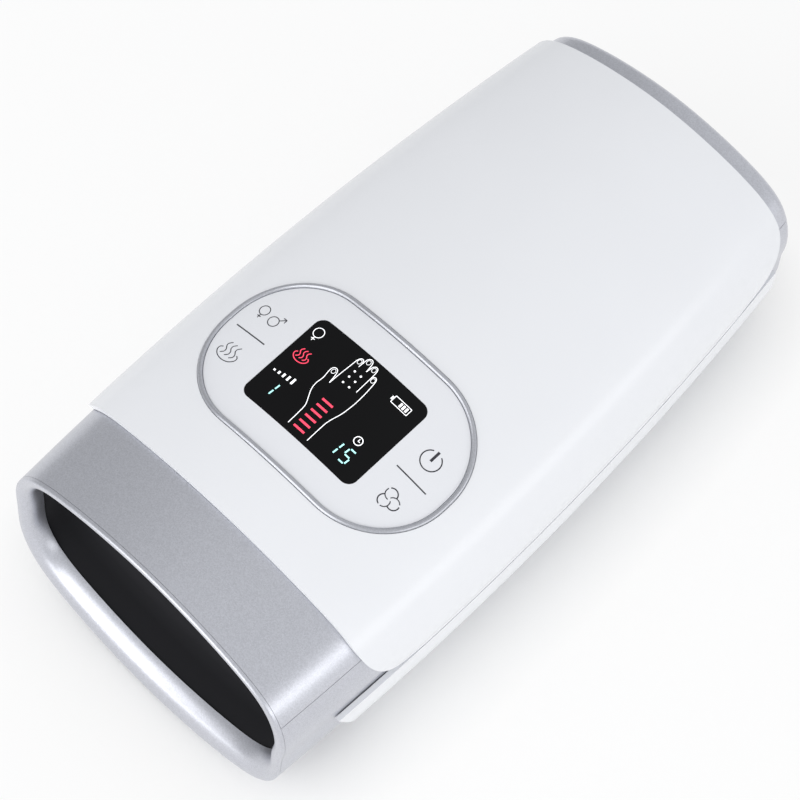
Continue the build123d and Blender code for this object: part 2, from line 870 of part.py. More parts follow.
for name, x in zip(("motor_sleeve_rear", "motor_sleeve_front"), sleeve_places):
    with BuildPart() as sleeve:
        with BuildSketch(Plane.YZ.offset(x - sleeve_length / 2)):
            with Locations((pump_y, pump_height)):
                Circle(sleeve_radius)
                Circle(motor_radius, mode=Mode.SUBTRACT)
        extrude(amount=sleeve_length)
    finish(name, sleeve.part)

# Pump head: a square case, the yoke on the crank pin, three rubber cups and an outlet cover
yoke_left = disc_right + pin_length + fit_gap
cup_left = yoke_left + yoke_thickness + fit_gap
head_right = head_left + head_length
cup_right = head_right - fit_gap
with BuildPart() as pump_case:
    with BuildSketch(Plane.YZ.offset(head_left)):
        with Locations((pump_y, pump_height)):
            RectangleRounded(head_size, head_size, head_corner)
    extrude(amount=head_length)
    with BuildSketch(Plane.YZ.offset(head_left + head_wall)):
        with Locations((pump_y, pump_height)):
            bore = head_size - 2 * head_wall
            RectangleRounded(bore, bore, head_corner - head_wall)
    extrude(amount=head_length, mode=Mode.SUBTRACT)
    with BuildSketch(Plane.YZ.offset(head_left)):
        with Locations((pump_y, pump_height)):
            Circle(shaft_radius + fit_gap)
    extrude(amount=head_wall, mode=Mode.SUBTRACT)
finish("pump_case", pump_case.part)

with BuildPart() as pump_yoke:
    with BuildSketch(Plane.YZ.offset(yoke_left)):
        with Locations((pump_y, pump_height)):
            Circle(eccentric_radius)
            with PolarLocations(cup_ring_radius, 3):
                Circle(cup_radius)
    extrude(amount=yoke_thickness)
finish("pump_yoke", pump_yoke.part)

with BuildPart() as pump_cups:
    with BuildSketch(Plane.YZ.offset(cup_left)):
        with Locations((pump_y, pump_height)):
            with PolarLocations(cup_ring_radius, 3):
                Circle(cup_radius)
    extrude(amount=cup_right - cup_left, taper=cup_taper)
finish("pump_cups", pump_cups.part)

with BuildPart() as pump_cover:
    with BuildSketch(Plane.YZ.offset(head_right)):
        with Locations((pump_y, pump_height)):
            RectangleRounded(head_size, head_size, head_corner)
    extrude(amount=cover_thickness)
    with BuildSketch(Plane.YZ.offset(head_right + cover_thickness)):
        with Locations((pump_y, pump_height)):
            Circle(nozzle_radius)
    extrude(amount=nozzle_height)
finish("pump_cover", pump_cover.part)

# Solenoid valves: a coil block with a sprung plunger in its bore, and a nozzle cap on top
bore_low = valve_foot + valve_seat_height
bore_high = valve_foot + valve_height
plunger_low = bore_low + valve_clearance
spring_low = plunger_low + plunger_length + valve_clearance
cap_high = bore_high + valve_cap_height
for step, x in enumerate(valve_places):
    place = (x, pump_y)
    number = str(step + 1)
    with BuildPart() as valve_block:
        with BuildSketch(Plane.XY.offset(valve_foot)):
            with Locations(place):
                Rectangle(valve_width, valve_depth)
        extrude(amount=valve_height)
        with BuildSketch(Plane.XY.offset(bore_low)):
            with Locations(place):
                Circle(valve_bore_radius + valve_clearance)
        extrude(amount=valve_height, mode=Mode.SUBTRACT)
        with BuildSketch(Plane.YZ.offset(x - valve_width / 2)):
            with Locations((pump_y, pump_height)):
                Circle(nozzle_radius)
        extrude(amount=-(valve_pitch - valve_width))
    finish("valve_block_" + number, valve_block.part)

    with BuildPart() as valve_plunger:
        with BuildSketch(Plane.XY.offset(plunger_low)):
            with Locations(place):
                Circle(valve_bore_radius)
        extrude(amount=plunger_length)
        chamfer(valve_plunger.edges().filter_by(GeomType.CIRCLE), spring_wall)
    finish("valve_plunger_" + number, valve_plunger.part)

    with BuildPart() as valve_spring:
        with BuildSketch(Plane.XY.offset(spring_low)):
            with Locations(place):
                Circle(valve_bore_radius - spring_wall)
                Circle(valve_bore_radius - 2 * spring_wall, mode=Mode.SUBTRACT)
        extrude(amount=bore_high - valve_clearance - spring_low)
    finish("valve_spring_" + number, valve_spring.part)

with BuildPart() as valve_caps:
    with BuildSketch(Plane.XY.offset(bore_high)):
        with Locations(*[(x, pump_y) for x in valve_places]):
            Rectangle(valve_width, valve_depth)
    extrude(amount=valve_cap_height)
    chamfer(valve_caps.faces().sort_by(Axis.Z)[-1].edges(), spring_wall)
    with BuildSketch(Plane.XY.offset(cap_high)):
        with Locations(*[(x, pump_y) for x in valve_places]):
            Circle(nozzle_radius)
    extrude(amount=nozzle_height)
finish("valve_caps", valve_caps.part)

# Hoses: one from each valve over the ceiling and down to its cuff, and a short one to the lift cuff
hose_start = cap_high + nozzle_height + fit_gap
hose_end = tray_ceiling - cuff_gap + nozzle_height + fit_gap
with BuildPart() as air_hoses:
    for x, y in zip(valve_places, cuff_places):
        with BuildLine() as route:
            FilletPolyline(
                (x, pump_y, hose_start),
                (x, pump_y, hose_level),
                (x, y, hose_level),
                (x, y, hose_end),
                radius=hose_bend,
            )
        with BuildSketch(Plane.XY.offset(hose_start)):
            with Locations((x, pump_y)):
                Circle(hose_radius)
        sweep(path=route.line)
    with BuildSketch(Plane.XZ.offset(-(tray_back + nozzle_height + fit_gap))):
        with Locations((lower_cuff_x, lower_cuff_middle)):
            Circle(hose_radius)
    extrude(amount=-(pump_y - valve_depth / 2 - tray_back - nozzle_height - 2 * fit_gap))
finish("air_hoses", air_hoses.part)

# Battery: two round cells stacked in an open holder
cell_heights = [cell_low + cell_radius + step * (2 * cell_radius + cell_gap) for step in range(2)]
with BuildPart() as battery_cells:
    for height in cell_heights:
        with BuildSketch(Plane.YZ.offset(-cell_length / 2)):
            with Locations((battery_y, height)):
                Circle(cell_radius)
        extrude(amount=cell_length - terminal_length)
        with BuildSketch(Plane.YZ.offset(cell_length / 2 - terminal_length)):
            with Locations((battery_y, height)):
                Circle(terminal_radius)
        extrude(amount=terminal_length)
finish("battery_cells", battery_cells.part)

with BuildPart() as battery_holder:
    with BuildSketch(Plane.XY.offset(battery_foot)):
        with Locations((0, battery_y)):
            Rectangle(2 * holder_half, holder_depth)
    extrude(amount=holder_height)
    with BuildSketch(Plane.XY.offset(battery_foot + holder_wall)):
        with Locations((0, battery_y)):
            Rectangle(cell_length + 2 * fit_gap, 2 * (cell_radius + fit_gap))
    extrude(amount=holder_height, mode=Mode.SUBTRACT)
finish("battery_holder", battery_holder.part)

# Main board: upright on standoffs behind the trough, with its chips and can capacitors facing back
board_front = tray_back + standoff_length
board_back = board_front + board_thickness
board_middle = main_board_low + main_board_height / 2
with BuildPart() as main_board:
    with BuildSketch(Plane.XZ.offset(-board_front)):
        with Locations((0, board_middle)):
            Rectangle(2 * main_board_half, main_board_height)
    extrude(amount=-board_thickness)
    with BuildSketch(Plane.XZ.offset(-board_back)):
        with Locations((0, board_middle)):
            with GridLocations(2 * chip_size, chip_size, 3, 1):
                Rectangle(chip_size, chip_size)
    extrude(amount=-chip_height)
    with BuildSketch(Plane.XZ.offset(-board_back)):
        with Locations((0, main_board_low + main_board_height - post_inset)):
            with GridLocations(chip_size, chip_size, 4, 1):
                Circle(can_radius)
    extrude(amount=-can_height)
finish("main_board", main_board.part)

with BuildPart() as display_ribbon:
    ribbon_start = panel_y + key_board_depth / 2 - post_inset
    ribbon_high = key_board_low - fit_gap - ribbon_thickness
    ribbon_low = tray_ceiling + tray_wall + rib_height + fit_gap
    ribbon_back = board_front - fit_gap - ribbon_thickness
    ribbon_drop = key_board_low - ribbon_low
    with BuildSketch(Plane.YZ.offset(ribbon_x)):
        with BuildLine():
            route = [
                (ribbon_start, ribbon_high),
                (ribbon_start + post_inset, ribbon_high),
                (ribbon_start + post_inset + ribbon_drop, ribbon_low),
                (tray_back - tray_wall, ribbon_low),
                (ribbon_back, ribbon_low - ribbon_drop),
                (ribbon_back, main_board_low + main_board_height - post_inset),
            ]
            Polyline(*route)
        trace(line_width=ribbon_thickness)
    extrude(amount=ribbon_width)
finish("display_ribbon", display_ribbon.part)

# Charging board on its shelves, with the socket that reaches into the slot in the back wall
with BuildPart() as charging_board:
    with BuildSketch(Plane.XY.offset(shelf_height)):
        with Locations((0, charge_board_back - charge_board_depth / 2)):
            Rectangle(charge_board_width, charge_board_depth)
    extrude(amount=board_thickness)
    with BuildSketch(Plane.XY.offset(socket_low)):
        with Locations((0, charge_board_back - charge_board_depth + chip_size / 2)):
            Rectangle(chip_size, chip_size / 2)
    extrude(amount=chip_height)
finish("charging_board", charging_board.part)

socket_back = half_length - socket_set
with BuildPart() as charging_socket:
    with BuildSketch(Plane.XZ.offset(-socket_back)):
        with Locations((0, socket_middle)):
            RectangleRounded(socket_width, socket_thickness, socket_thickness / 2 - window_gap)
    extrude(amount=socket_depth)
    with BuildSketch(Plane.XZ.offset(-socket_back)):
        with Locations((0, socket_middle)):
            inner_height = socket_thickness - 2 * socket_wall
            inner_width = socket_width - 2 * socket_wall
            RectangleRounded(inner_width, inner_height, inner_height / 2 - window_gap)
            Rectangle(tongue_width, tongue_thickness, mode=Mode.SUBTRACT)
    extrude(amount=socket_depth - socket_set, mode=Mode.SUBTRACT)
finish("charging_socket", charging_socket.part)

# Screws: into the shells from the sides, through the trough's floor, and up into the key board's posts
with BuildPart() as case_screws:
    for y in screw_places:
        seat = half_width(y) - shell_inset - screw_head_height
        for side in (-1, 1):
            with BuildSketch(Plane.YZ.offset(side * seat)):
                with Locations((y, case_screw_height)):
                    Circle(screw_head_radius)
            extrude(amount=side * (screw_head_height - fit_gap))
            with BuildSketch(Plane.YZ.offset(side * seat)):
                with Locations((y, case_screw_height)):
                    Circle(screw_radius)
            extrude(amount=-side * screw_length)
finish("case_screws", case_screws.part)


def upright_screws(places, seat, length, head_side):
    """Screws whose heads bear at height seat and whose shanks run away from the head."""
    with BuildPart() as screws:
        with BuildSketch(Plane.XY.offset(seat)):
            with Locations(*places):
                Circle(screw_head_radius)
        extrude(amount=head_side * screw_head_height)
        with BuildSketch(Plane.XY.offset(seat)):
            with Locations(*places):
                Circle(screw_radius)
        extrude(amount=-head_side * length)
    return screws.part


tray_screw_seat = tray_floor + tray_wall - screw_head_height
finish("tray_screws", upright_screws(boss_places, tray_screw_seat, screw_length, 1))
finish("key_board_screws", upright_screws(post_places, key_board_low, key_screw_length, -1))

# Rubber feet in the bottom cover's pads
with BuildPart() as rubber_feet:
    with BuildSketch(Plane.XY):
        with Locations(*foot_places):
            Circle(foot_radius)
    extrude(amount=foot_depth)
    chamfer(rubber_feet.faces().sort_by(Axis.Z)[:4].edges(), foot_edge)
finish("rubber_feet", rubber_feet.part)
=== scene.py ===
# %% [markdown]
# # An electric hand massager
# A cordless massager for one hand. The hand goes in through the slanted mouth at the front, air cuffs
# squeeze it, and a studded plate warms the palm. The housing is a nest of thin moulded shells. The solid
# model already holds every rigid piece in its true place, so this lesson adds what a solid model lacks:
# the finishes, the fabric inside, the prints on the panel, the light and the camera.

# %% Load the solid model
from math import cos, hypot, pi, radians, sin, tan

import bmesh
import bpy
from mathutils import Matrix, Vector


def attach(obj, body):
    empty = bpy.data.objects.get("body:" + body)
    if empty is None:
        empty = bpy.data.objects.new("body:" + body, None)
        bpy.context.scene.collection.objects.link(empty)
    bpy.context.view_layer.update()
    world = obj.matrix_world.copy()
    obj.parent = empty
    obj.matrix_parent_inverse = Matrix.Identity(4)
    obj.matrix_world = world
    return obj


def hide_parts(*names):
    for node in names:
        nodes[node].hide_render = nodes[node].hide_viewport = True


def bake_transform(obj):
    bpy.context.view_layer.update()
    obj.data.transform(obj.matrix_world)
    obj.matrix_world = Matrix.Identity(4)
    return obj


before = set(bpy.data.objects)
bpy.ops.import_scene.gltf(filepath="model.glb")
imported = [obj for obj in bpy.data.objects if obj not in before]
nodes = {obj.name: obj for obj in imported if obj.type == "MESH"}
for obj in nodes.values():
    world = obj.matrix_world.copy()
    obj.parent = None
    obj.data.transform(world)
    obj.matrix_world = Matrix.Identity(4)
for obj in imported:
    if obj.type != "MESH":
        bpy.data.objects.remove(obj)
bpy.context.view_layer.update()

# %% [markdown]
# ## Camera
# The photograph looks down on the mouth's right-hand side from far away with a long lens, so the edges
# of the box hardly converge. The numbers come from fitting a camera to the outlines in the picture. The
# object sits a little off the middle of the frame, which the lens shift puts right without turning it.

# %% Camera
MM = 0.001
PICTURE = 800
SENSOR = 36.0
FOCAL_PIXELS = 2144.6
VIEW_AZIMUTH = radians(45.06)
VIEW_ELEVATION = radians(63.229)
VIEW_ROLL = radians(-0.783)
VIEW_DISTANCE = 0.897738
VIEW_TARGET = Vector((0, 2.8 * MM, 40 * MM))
SHIFT_PIXELS = (17.202, -3.006)

away = Vector((
    sin(VIEW_AZIMUTH) * cos(VIEW_ELEVATION),
    -cos(VIEW_AZIMUTH) * cos(VIEW_ELEVATION),
    sin(VIEW_ELEVATION),
))
bpy.ops.object.camera_add(location=VIEW_TARGET + away * VIEW_DISTANCE)
camera = bpy.context.object
camera.name = "photo_camera"
aimed = away.to_track_quat("Z", "Y").to_matrix()
camera.rotation_euler = (aimed @ Matrix.Rotation(VIEW_ROLL, 3, "Z")).to_euler()
camera.data.sensor_width = SENSOR
camera.data.lens = FOCAL_PIXELS * SENSOR / PICTURE
camera.data.shift_x = -SHIFT_PIXELS[0] / PICTURE
camera.data.shift_y = SHIFT_PIXELS[1] / PICTURE
bpy.context.scene.camera = camera
print("lens", round(camera.data.lens, 1), "mm")

# %% [markdown]
# ## Floor and light
# A catalogue picture of a white product has a white floor, large soft lamps and only a hint of shadow.
# The floor glows for the camera and in reflections alone, so it reads as white while the object's own
# light stays plain. Where the object stands close over the floor the glow fades, and the true shadow
# shows. The room round it is darker on the left, so that the gloss has something to mirror. The lamps
# are big, because gloss shows each one as a patch. One hangs high in front and one low on the right,
# which rims the shoulder. One stands low in front for the lip. The studio is measured in metres, and the
# object and its finishes in mm.

# %% Floor
FLOOR_SIZE = 6.0
FLOOR_DROP = 0.0002

bpy.ops.object.select_all(action="DESELECT")
bpy.ops.mesh.primitive_plane_add(size=FLOOR_SIZE, location=(0, 0, -FLOOR_DROP))
floor = bpy.context.object
floor.name = "studio_floor"
bpy.ops.object.transform_apply(location=True, rotation=False, scale=False)
print("floor", FLOOR_SIZE, "m wide")


# %% Helpers for materials
def new_material(name):
    """An empty node material with its output node."""
    material = bpy.data.materials.new(name)
    material.use_nodes = True
    tree = material.node_tree
    tree.nodes.clear()
    output = tree.nodes.new("ShaderNodeOutputMaterial")
    return material, tree, output


def calculate(tree, operation, *values):
    """The result of one sum, whose values are plain numbers or come from other nodes."""
    node = tree.nodes.new("ShaderNodeMath")
    node.operation = operation
    for entry, value in zip(node.inputs, values):
        if isinstance(value, float):
            entry.default_value = value
        else:
            tree.links.new(value, entry)
    return node.outputs[0]


def map_range(tree, value, source, target, kind="LINEAR"):
    """The same value, moved from the source range to the target range."""
    node = tree.nodes.new("ShaderNodeMapRange")
    node.interpolation_type = kind
    node.inputs["From Min"].default_value, node.inputs["From Max"].default_value = source
    node.inputs["To Min"].default_value, node.inputs["To Max"].default_value = target
    tree.links.new(value, node.inputs["Value"])
    return node.outputs["Result"]


# %% Floor finish
FLOOR_WHITE = 0.9
FLOOR_GLOW = 0.81
CONTACT_REACH = 0.042
OPENNESS_RANGE = (0.45, 1.0)

paper, tree, output = new_material("studio_paper")
matt = tree.nodes.new("ShaderNodeBsdfDiffuse")
matt.inputs["Color"].default_value = (FLOOR_WHITE, FLOOR_WHITE, FLOOR_WHITE, 1)
glow = tree.nodes.new("ShaderNodeEmission")
glow.inputs["Strength"].default_value = 1.0
ray = tree.nodes.new("ShaderNodeLightPath")
nearby = tree.nodes.new("ShaderNodeAmbientOcclusion")
nearby.inputs["Distance"].default_value = CONTACT_REACH
openness = map_range(tree, nearby.outputs["AO"], OPENNESS_RANGE, (0.0, FLOOR_GLOW))
seen = calculate(tree, "MAXIMUM", ray.outputs["Is Camera Ray"], ray.outputs["Is Glossy Ray"])
blend = tree.nodes.new("ShaderNodeMixShader")
tree.links.new(calculate(tree, "MULTIPLY", seen, openness), blend.inputs["Fac"])
tree.links.new(matt.outputs[0], blend.inputs[1])
tree.links.new(glow.outputs[0], blend.inputs[2])
tree.links.new(blend.outputs[0], output.inputs["Surface"])
floor.data.materials.append(paper)
print("floor finish", paper.name)

# %% Lamps
LAMPS = {
    "softbox_above": ((-0.15, -0.95, 1.00), (1.3, 0.9), 6.4),
    "softbox_right": ((1.10, 0.12, 0.38), (1.2, 0.40), 2.2),
    "softbox_front": ((-0.20, -1.20, 0.30), (1.0, 0.40), 2.6),
}
AIM = Vector((0, 0, 0.05))
for name, (place, size, power) in LAMPS.items():
    bpy.ops.object.light_add(type="AREA", location=place)
    lamp = bpy.context.object
    lamp.name = name
    lamp.data.shape = "RECTANGLE"
    lamp.data.size, lamp.data.size_y = size
    lamp.data.energy = power
    lamp.rotation_euler = (AIM - Vector(place)).to_track_quat("-Z", "Y").to_euler()
    print(name, power, "W")

# %% Room
ZENITH_GREY = 0.78
HORIZON_GREY = 0.86
RISE_RANGE = (0.1, 0.95)
DARK_SIDE_SHARE = 0.62
SIDE_RANGE = (-1.0, 0.2)
ROOM_TINT = (0.98, 0.99, 1.0, 1)

world = bpy.data.worlds.new("studio_room")
bpy.context.scene.world = world
bpy.context.scene.view_settings.view_transform = "Standard"
world.use_nodes = True
tree = world.node_tree
tree.nodes.clear()
room_output = tree.nodes.new("ShaderNodeOutputWorld")
direction = tree.nodes.new("ShaderNodeTexCoord")
height = tree.nodes.new("ShaderNodeSeparateXYZ")
tree.links.new(direction.outputs["Generated"], height.inputs["Vector"])
sideways = tree.nodes.new("ShaderNodeVectorMath")
sideways.operation = "DOT_PRODUCT"
sideways.inputs[1].default_value = (1.0, 0.0, 0.0)
tree.links.new(direction.outputs["Generated"], sideways.inputs[0])
fall = map_range(tree, height.outputs["Z"], RISE_RANGE, (HORIZON_GREY, ZENITH_GREY), "SMOOTHSTEP")
side = map_range(tree, sideways.outputs["Value"], SIDE_RANGE, (DARK_SIDE_SHARE, 1.0), "SMOOTHSTEP")
room_light = tree.nodes.new("ShaderNodeBackground")
room_light.inputs["Color"].default_value = ROOM_TINT
tree.links.new(calculate(tree, "MULTIPLY", fall, side), room_light.inputs["Strength"])
white_wall = tree.nodes.new("ShaderNodeBackground")
white_wall.inputs["Color"].default_value = (1, 1, 1, 1)
view_ray = tree.nodes.new("ShaderNodeLightPath")
choose = tree.nodes.new("ShaderNodeMixShader")
tree.links.new(view_ray.outputs["Is Camera Ray"], choose.inputs["Fac"])
tree.links.new(room_light.outputs[0], choose.inputs[1])
tree.links.new(white_wall.outputs[0], choose.inputs[2])
tree.links.new(choose.outputs[0], room_output.inputs["Surface"])
print("room", world.name)

# %% [markdown]
# ## Shared surface detail
# Nearly every finish here needs a little unevenness, so it is built once as a node group. It takes how
# fine the speckle is, as specks to a metre, and gives back a value that wanders softly and the speckle.
# Each material mixes them into its own colour and roughness. The shader itself stays in the material.

# %% Grain group
DRIFT_SCALE, DRIFT_DETAIL = 18.0, 3.0
SPECKLE_SCALE, SPECKLE_DETAIL, SPECKLE_CONTRAST = 400.0, 2.0, 0.7


def socket(group, name, way, value=None):
    """Adds one named input or output to a node group."""
    made = group.interface.new_socket(name=name, in_out=way, socket_type="NodeSocketFloat")
    if value is not None:
        made.default_value = value


grain_group = bpy.data.node_groups.new("surface_grain", "ShaderNodeTree")
socket(grain_group, "Size", "INPUT", SPECKLE_SCALE)
socket(grain_group, "Drift", "OUTPUT")
socket(grain_group, "Speckle", "OUTPUT")
entry = grain_group.nodes.new("NodeGroupInput")
leave = grain_group.nodes.new("NodeGroupOutput")
coordinates = grain_group.nodes.new("ShaderNodeTexCoord")
drift = grain_group.nodes.new("ShaderNodeTexNoise")
drift.inputs["Scale"].default_value = DRIFT_SCALE
drift.inputs["Detail"].default_value = DRIFT_DETAIL
fine = grain_group.nodes.new("ShaderNodeTexNoise")
fine.inputs["Detail"].default_value = SPECKLE_DETAIL
fine.inputs["Roughness"].default_value = SPECKLE_CONTRAST
for noise in (drift, fine):
    grain_group.links.new(coordinates.outputs["Object"], noise.inputs["Vector"])
grain_group.links.new(entry.outputs["Size"], fine.inputs["Scale"])
grain_group.links.new(drift.outputs["Fac"], leave.inputs["Drift"])
grain_group.links.new(fine.outputs["Fac"], leave.inputs["Speckle"])
print("node group", grain_group.name)


# %% Wiring that every finish shares
NOISE_RANGE = (0.3, 0.7)


def new_surface(name):
    """A material with a Principled shader wired to its output."""
    material, tree, output = new_material(name)
    shader = tree.nodes.new("ShaderNodeBsdfPrincipled")
    tree.links.new(shader.outputs["BSDF"], output.inputs["Surface"])
    return material, tree, shader


def add_grain(tree):
    """Places the grain group in a material."""
    grain = tree.nodes.new("ShaderNodeGroup")
    grain.node_tree = grain_group
    return grain


def spread(tree, value, low, high):
    """Maps a noise value, which mostly lies in NOISE_RANGE, to a range."""
    return map_range(tree, value, NOISE_RANGE, (low, high))


def shade_of(color, factor):
    """A colour made darker or lighter, with the fourth value that sockets want."""
    return tuple(min(1.0, channel * factor) for channel in color) + (1,)


def two_tones(tree, shader, factor, dark, light):
    """Blends two colours by a value and feeds them to the shader."""
    mix = tree.nodes.new("ShaderNodeMix")
    mix.data_type = "RGBA"
    mix.inputs["A"].default_value = dark
    mix.inputs["B"].default_value = light
    tree.links.new(factor, mix.inputs["Factor"])
    tree.links.new(mix.outputs["Result"], shader.inputs["Base Color"])


def raise_surface(tree, shader, height, strength, depth):
    """Feeds a height to the shader as a bump, whose depth is in mm."""
    raised = tree.nodes.new("ShaderNodeBump")
    raised.inputs["Strength"].default_value = strength
    raised.inputs["Distance"].default_value = depth * MM
    tree.links.new(height, raised.inputs["Height"])
    tree.links.new(raised.outputs["Normal"], shader.inputs["Normal"])


# %% A finish from a few numbers
GRAIN_DEPTH = 0.1
COAT_ROUGHNESS = 0.12


def finish(
    name, color, roughness, size=900.0, tone=0.05, rough_range=0.05, bump=0.05,
    metallic=0.0, coat=0.0, specular=0.5,
):
    """A material whose colour, roughness and height follow the grain group."""
    material, tree, shader = new_surface(name)
    grain = add_grain(tree)
    grain.inputs["Size"].default_value = size
    wander = grain.outputs["Drift"]
    dark, light = shade_of(color, 1 - tone), shade_of(color, 1 + tone)
    two_tones(tree, shader, spread(tree, wander, 0, 1), dark, light)
    rough = spread(tree, wander, roughness - rough_range, roughness + rough_range)
    tree.links.new(rough, shader.inputs["Roughness"])
    if bump:
        raise_surface(tree, shader, grain.outputs["Speckle"], bump, GRAIN_DEPTH)
    shader.inputs["Metallic"].default_value = metallic
    shader.inputs["Coat Weight"].default_value = coat
    shader.inputs["Coat Roughness"].default_value = COAT_ROUGHNESS
    shader.inputs["Specular IOR Level"].default_value = specular
    return material


def wear(material, *names):
    """Gives a material to CAD nodes by name."""
    for name in names:
        slots = nodes[name].data.materials
        slots.clear()
        slots.append(material)
    print(material.name, "on", ", ".join(names))


# %% [markdown]
# ## White covers
# The two covers are glossy white plastic, moulded in a polished tool. Real gloss is never perfectly
# even: it has a faint orange peel that softens a lamp's edge. A small bump from the grain gives that,
# and the colour stays a touch under white so that it never burns out.

# %% White covers
gloss_white = finish(
    "gloss_white_plastic", (0.83, 0.84, 0.87), 0.25, size=260, tone=0.008, rough_range=0.02, bump=0.02,
)
wear(gloss_white, "top_cover", "bottom_cover")
touch_white = finish(
    "satin_touch_white", (0.80, 0.81, 0.845), 0.34, size=900, tone=0.01, rough_range=0.03, bump=0.015,
)
wear(touch_white, "touch_plate")

# %% [markdown]
# ## Silver paint
# The shells and the lip are plastic, sprayed with a silver paint. The paint holds tiny aluminium flakes,
# which show as a fine sparkle close up and as a soft, wide highlight from afar. A cell pattern stands
# for the flakes: each cell is a little lighter or darker and tips the surface its own way.

# %% Silver paint
FLAKE_SCALE = 2600.0
FLAKE_DARK, FLAKE_LIGHT = 0.91, 1.08
PAINT_METALLIC, PAINT_ROUGH_RANGE = 0.85, 0.03
LACQUER_WEIGHT, LACQUER_ROUGHNESS = 0.25, 0.15


def flake_paint(name, color, roughness, tip):
    """A metallic paint, in which each flake has its own tone and tips the surface its own way."""
    material, tree, shader = new_surface(name)
    coordinates = tree.nodes.new("ShaderNodeTexCoord")
    flakes = tree.nodes.new("ShaderNodeTexVoronoi")
    flakes.inputs["Scale"].default_value = FLAKE_SCALE
    tree.links.new(coordinates.outputs["Object"], flakes.inputs["Vector"])
    grey = tree.nodes.new("ShaderNodeSeparateColor")
    tree.links.new(flakes.outputs["Color"], grey.inputs["Color"])
    two_tones(tree, shader, grey.outputs["Red"], shade_of(color, FLAKE_DARK), shade_of(color, FLAKE_LIGHT))
    low, high = roughness - PAINT_ROUGH_RANGE, roughness + PAINT_ROUGH_RANGE
    tree.links.new(spread(tree, add_grain(tree).outputs["Drift"], low, high), shader.inputs["Roughness"])
    raise_surface(tree, shader, grey.outputs["Green"], tip, GRAIN_DEPTH)
    shader.inputs["Metallic"].default_value = PAINT_METALLIC
    shader.inputs["Coat Weight"].default_value = LACQUER_WEIGHT
    shader.inputs["Coat Roughness"].default_value = LACQUER_ROUGHNESS
    return material


silver = flake_paint("silver_flake_paint", (0.57, 0.58, 0.63), 0.35, 0.05)
wear(silver, "upper_body_shell", "lower_body_shell", "mouth_ring")
trim_silver = flake_paint("silver_trim_paint", (0.50, 0.51, 0.55), 0.30, 0.05)
wear(trim_silver, "panel_bezel")

# %% [markdown]
# ## Display window
# The display sits behind a polished black window. It is almost perfectly smooth, and what shows on it is
# lit from behind, so the window itself is nearly black with a weak mirror.

# %% Display window
black_window = finish(
    "black_display_window", (0.004, 0.004, 0.0045), 0.10, size=500, tone=0.1, rough_range=0.02, bump=0.0,
    specular=0.12,
)
wear(black_window, "display_window")

# %% [markdown]
# ## Inner finishes
# The works inside are plain trade materials: dark moulded plastic, light engineering plastic, plated
# steel, rubber, welded film, copper, and green circuit board. Each gets its colour, its own roughness and
# a grain at the size that the real one has.

# %% Inner finishes
wear(
    finish("dark_moulded_plastic", (0.035, 0.036, 0.04), 0.48, size=1400, tone=0.15, bump=0.25),
    "liner_clamp", "lower_tray", "upper_tray", "crank_disc", "pump_yoke", "battery_holder",
)
wear(
    finish("natural_nylon", (0.62, 0.61, 0.57), 0.42, size=1100, tone=0.04, bump=0.12),
    "pump_case", "pump_cover", "valve_block_1", "valve_block_2", "valve_block_3", "valve_caps",
)
wear(
    finish("palm_plate_plastic", (0.55, 0.55, 0.54), 0.36, size=900, tone=0.03, bump=0.08),
    "palm_plate",
)
steel = finish("plated_steel", (0.56, 0.56, 0.58), 0.28, size=2200, tone=0.08, bump=0.08, metallic=1.0)
wear(
    steel,
    "motor_can", "motor_armature", "valve_plunger_1", "valve_plunger_2", "valve_plunger_3",
    "valve_spring_1", "valve_spring_2", "valve_spring_3", "charging_socket", "case_screws",
    "tray_screws", "key_board_screws",
)
wear(
    finish("black_rubber", (0.022, 0.022, 0.024), 0.72, size=1800, tone=0.2, bump=0.3, specular=0.3),
    "rubber_feet", "motor_sleeve_rear", "motor_sleeve_front", "pump_cups",
)
wear(
    finish("silicone_hose", (0.66, 0.65, 0.62), 0.40, size=700, tone=0.03, bump=0.04, coat=0.2),
    "air_hoses",
)
cuff_film = finish("welded_cuff_film", (0.07, 0.075, 0.085), 0.38, size=650, tone=0.18, bump=0.3, coat=0.1)
wear(
    finish("heater_film", (0.34, 0.13, 0.03), 0.30, size=500, tone=0.15, bump=0.05, coat=0.3),
    "heater_film",
)
wear(
    finish("board_green", (0.02, 0.16, 0.06), 0.30, size=900, tone=0.25, bump=0.05, coat=0.2),
    "key_board", "main_board", "charging_board",
)
wear(
    finish("tinned_copper", (0.72, 0.45, 0.28), 0.25, size=1500, tone=0.08, bump=0.04, metallic=1.0),
    "key_pads",
)
wear(
    finish("ribbon_film", (0.55, 0.30, 0.07), 0.28, size=600, tone=0.08, bump=0.03, coat=0.3),
    "display_ribbon",
)
wear(
    finish("display_module_black", (0.02, 0.02, 0.022), 0.35, size=900, tone=0.1, bump=0.05),
    "display_module",
)
wear(
    finish("cell_wrap", (0.03, 0.14, 0.36), 0.22, size=300, tone=0.05, bump=0.02, coat=0.3),
    "battery_cells",
)

# %% [markdown]
# ## Fabric liner
# The mouth opens into a sleeve of black ribbed knit. Its hem is clamped behind the silver lip. From
# there it narrows like a sock to a flat pocket, and the hand rests on its floor. A sleeve is easiest to
# make the way that it is knitted: one ring of stitches is set out, and ring after ring is drawn from it.
# Here a circle is extruded again and again, and each new ring is laid on the next cross-section. The
# floor is a piece of its own, because an air cuff lifts it, while the rest stays clamped in the housing.
# The sizes below follow the solid model's own, so that the sleeve lies just inside the shells.

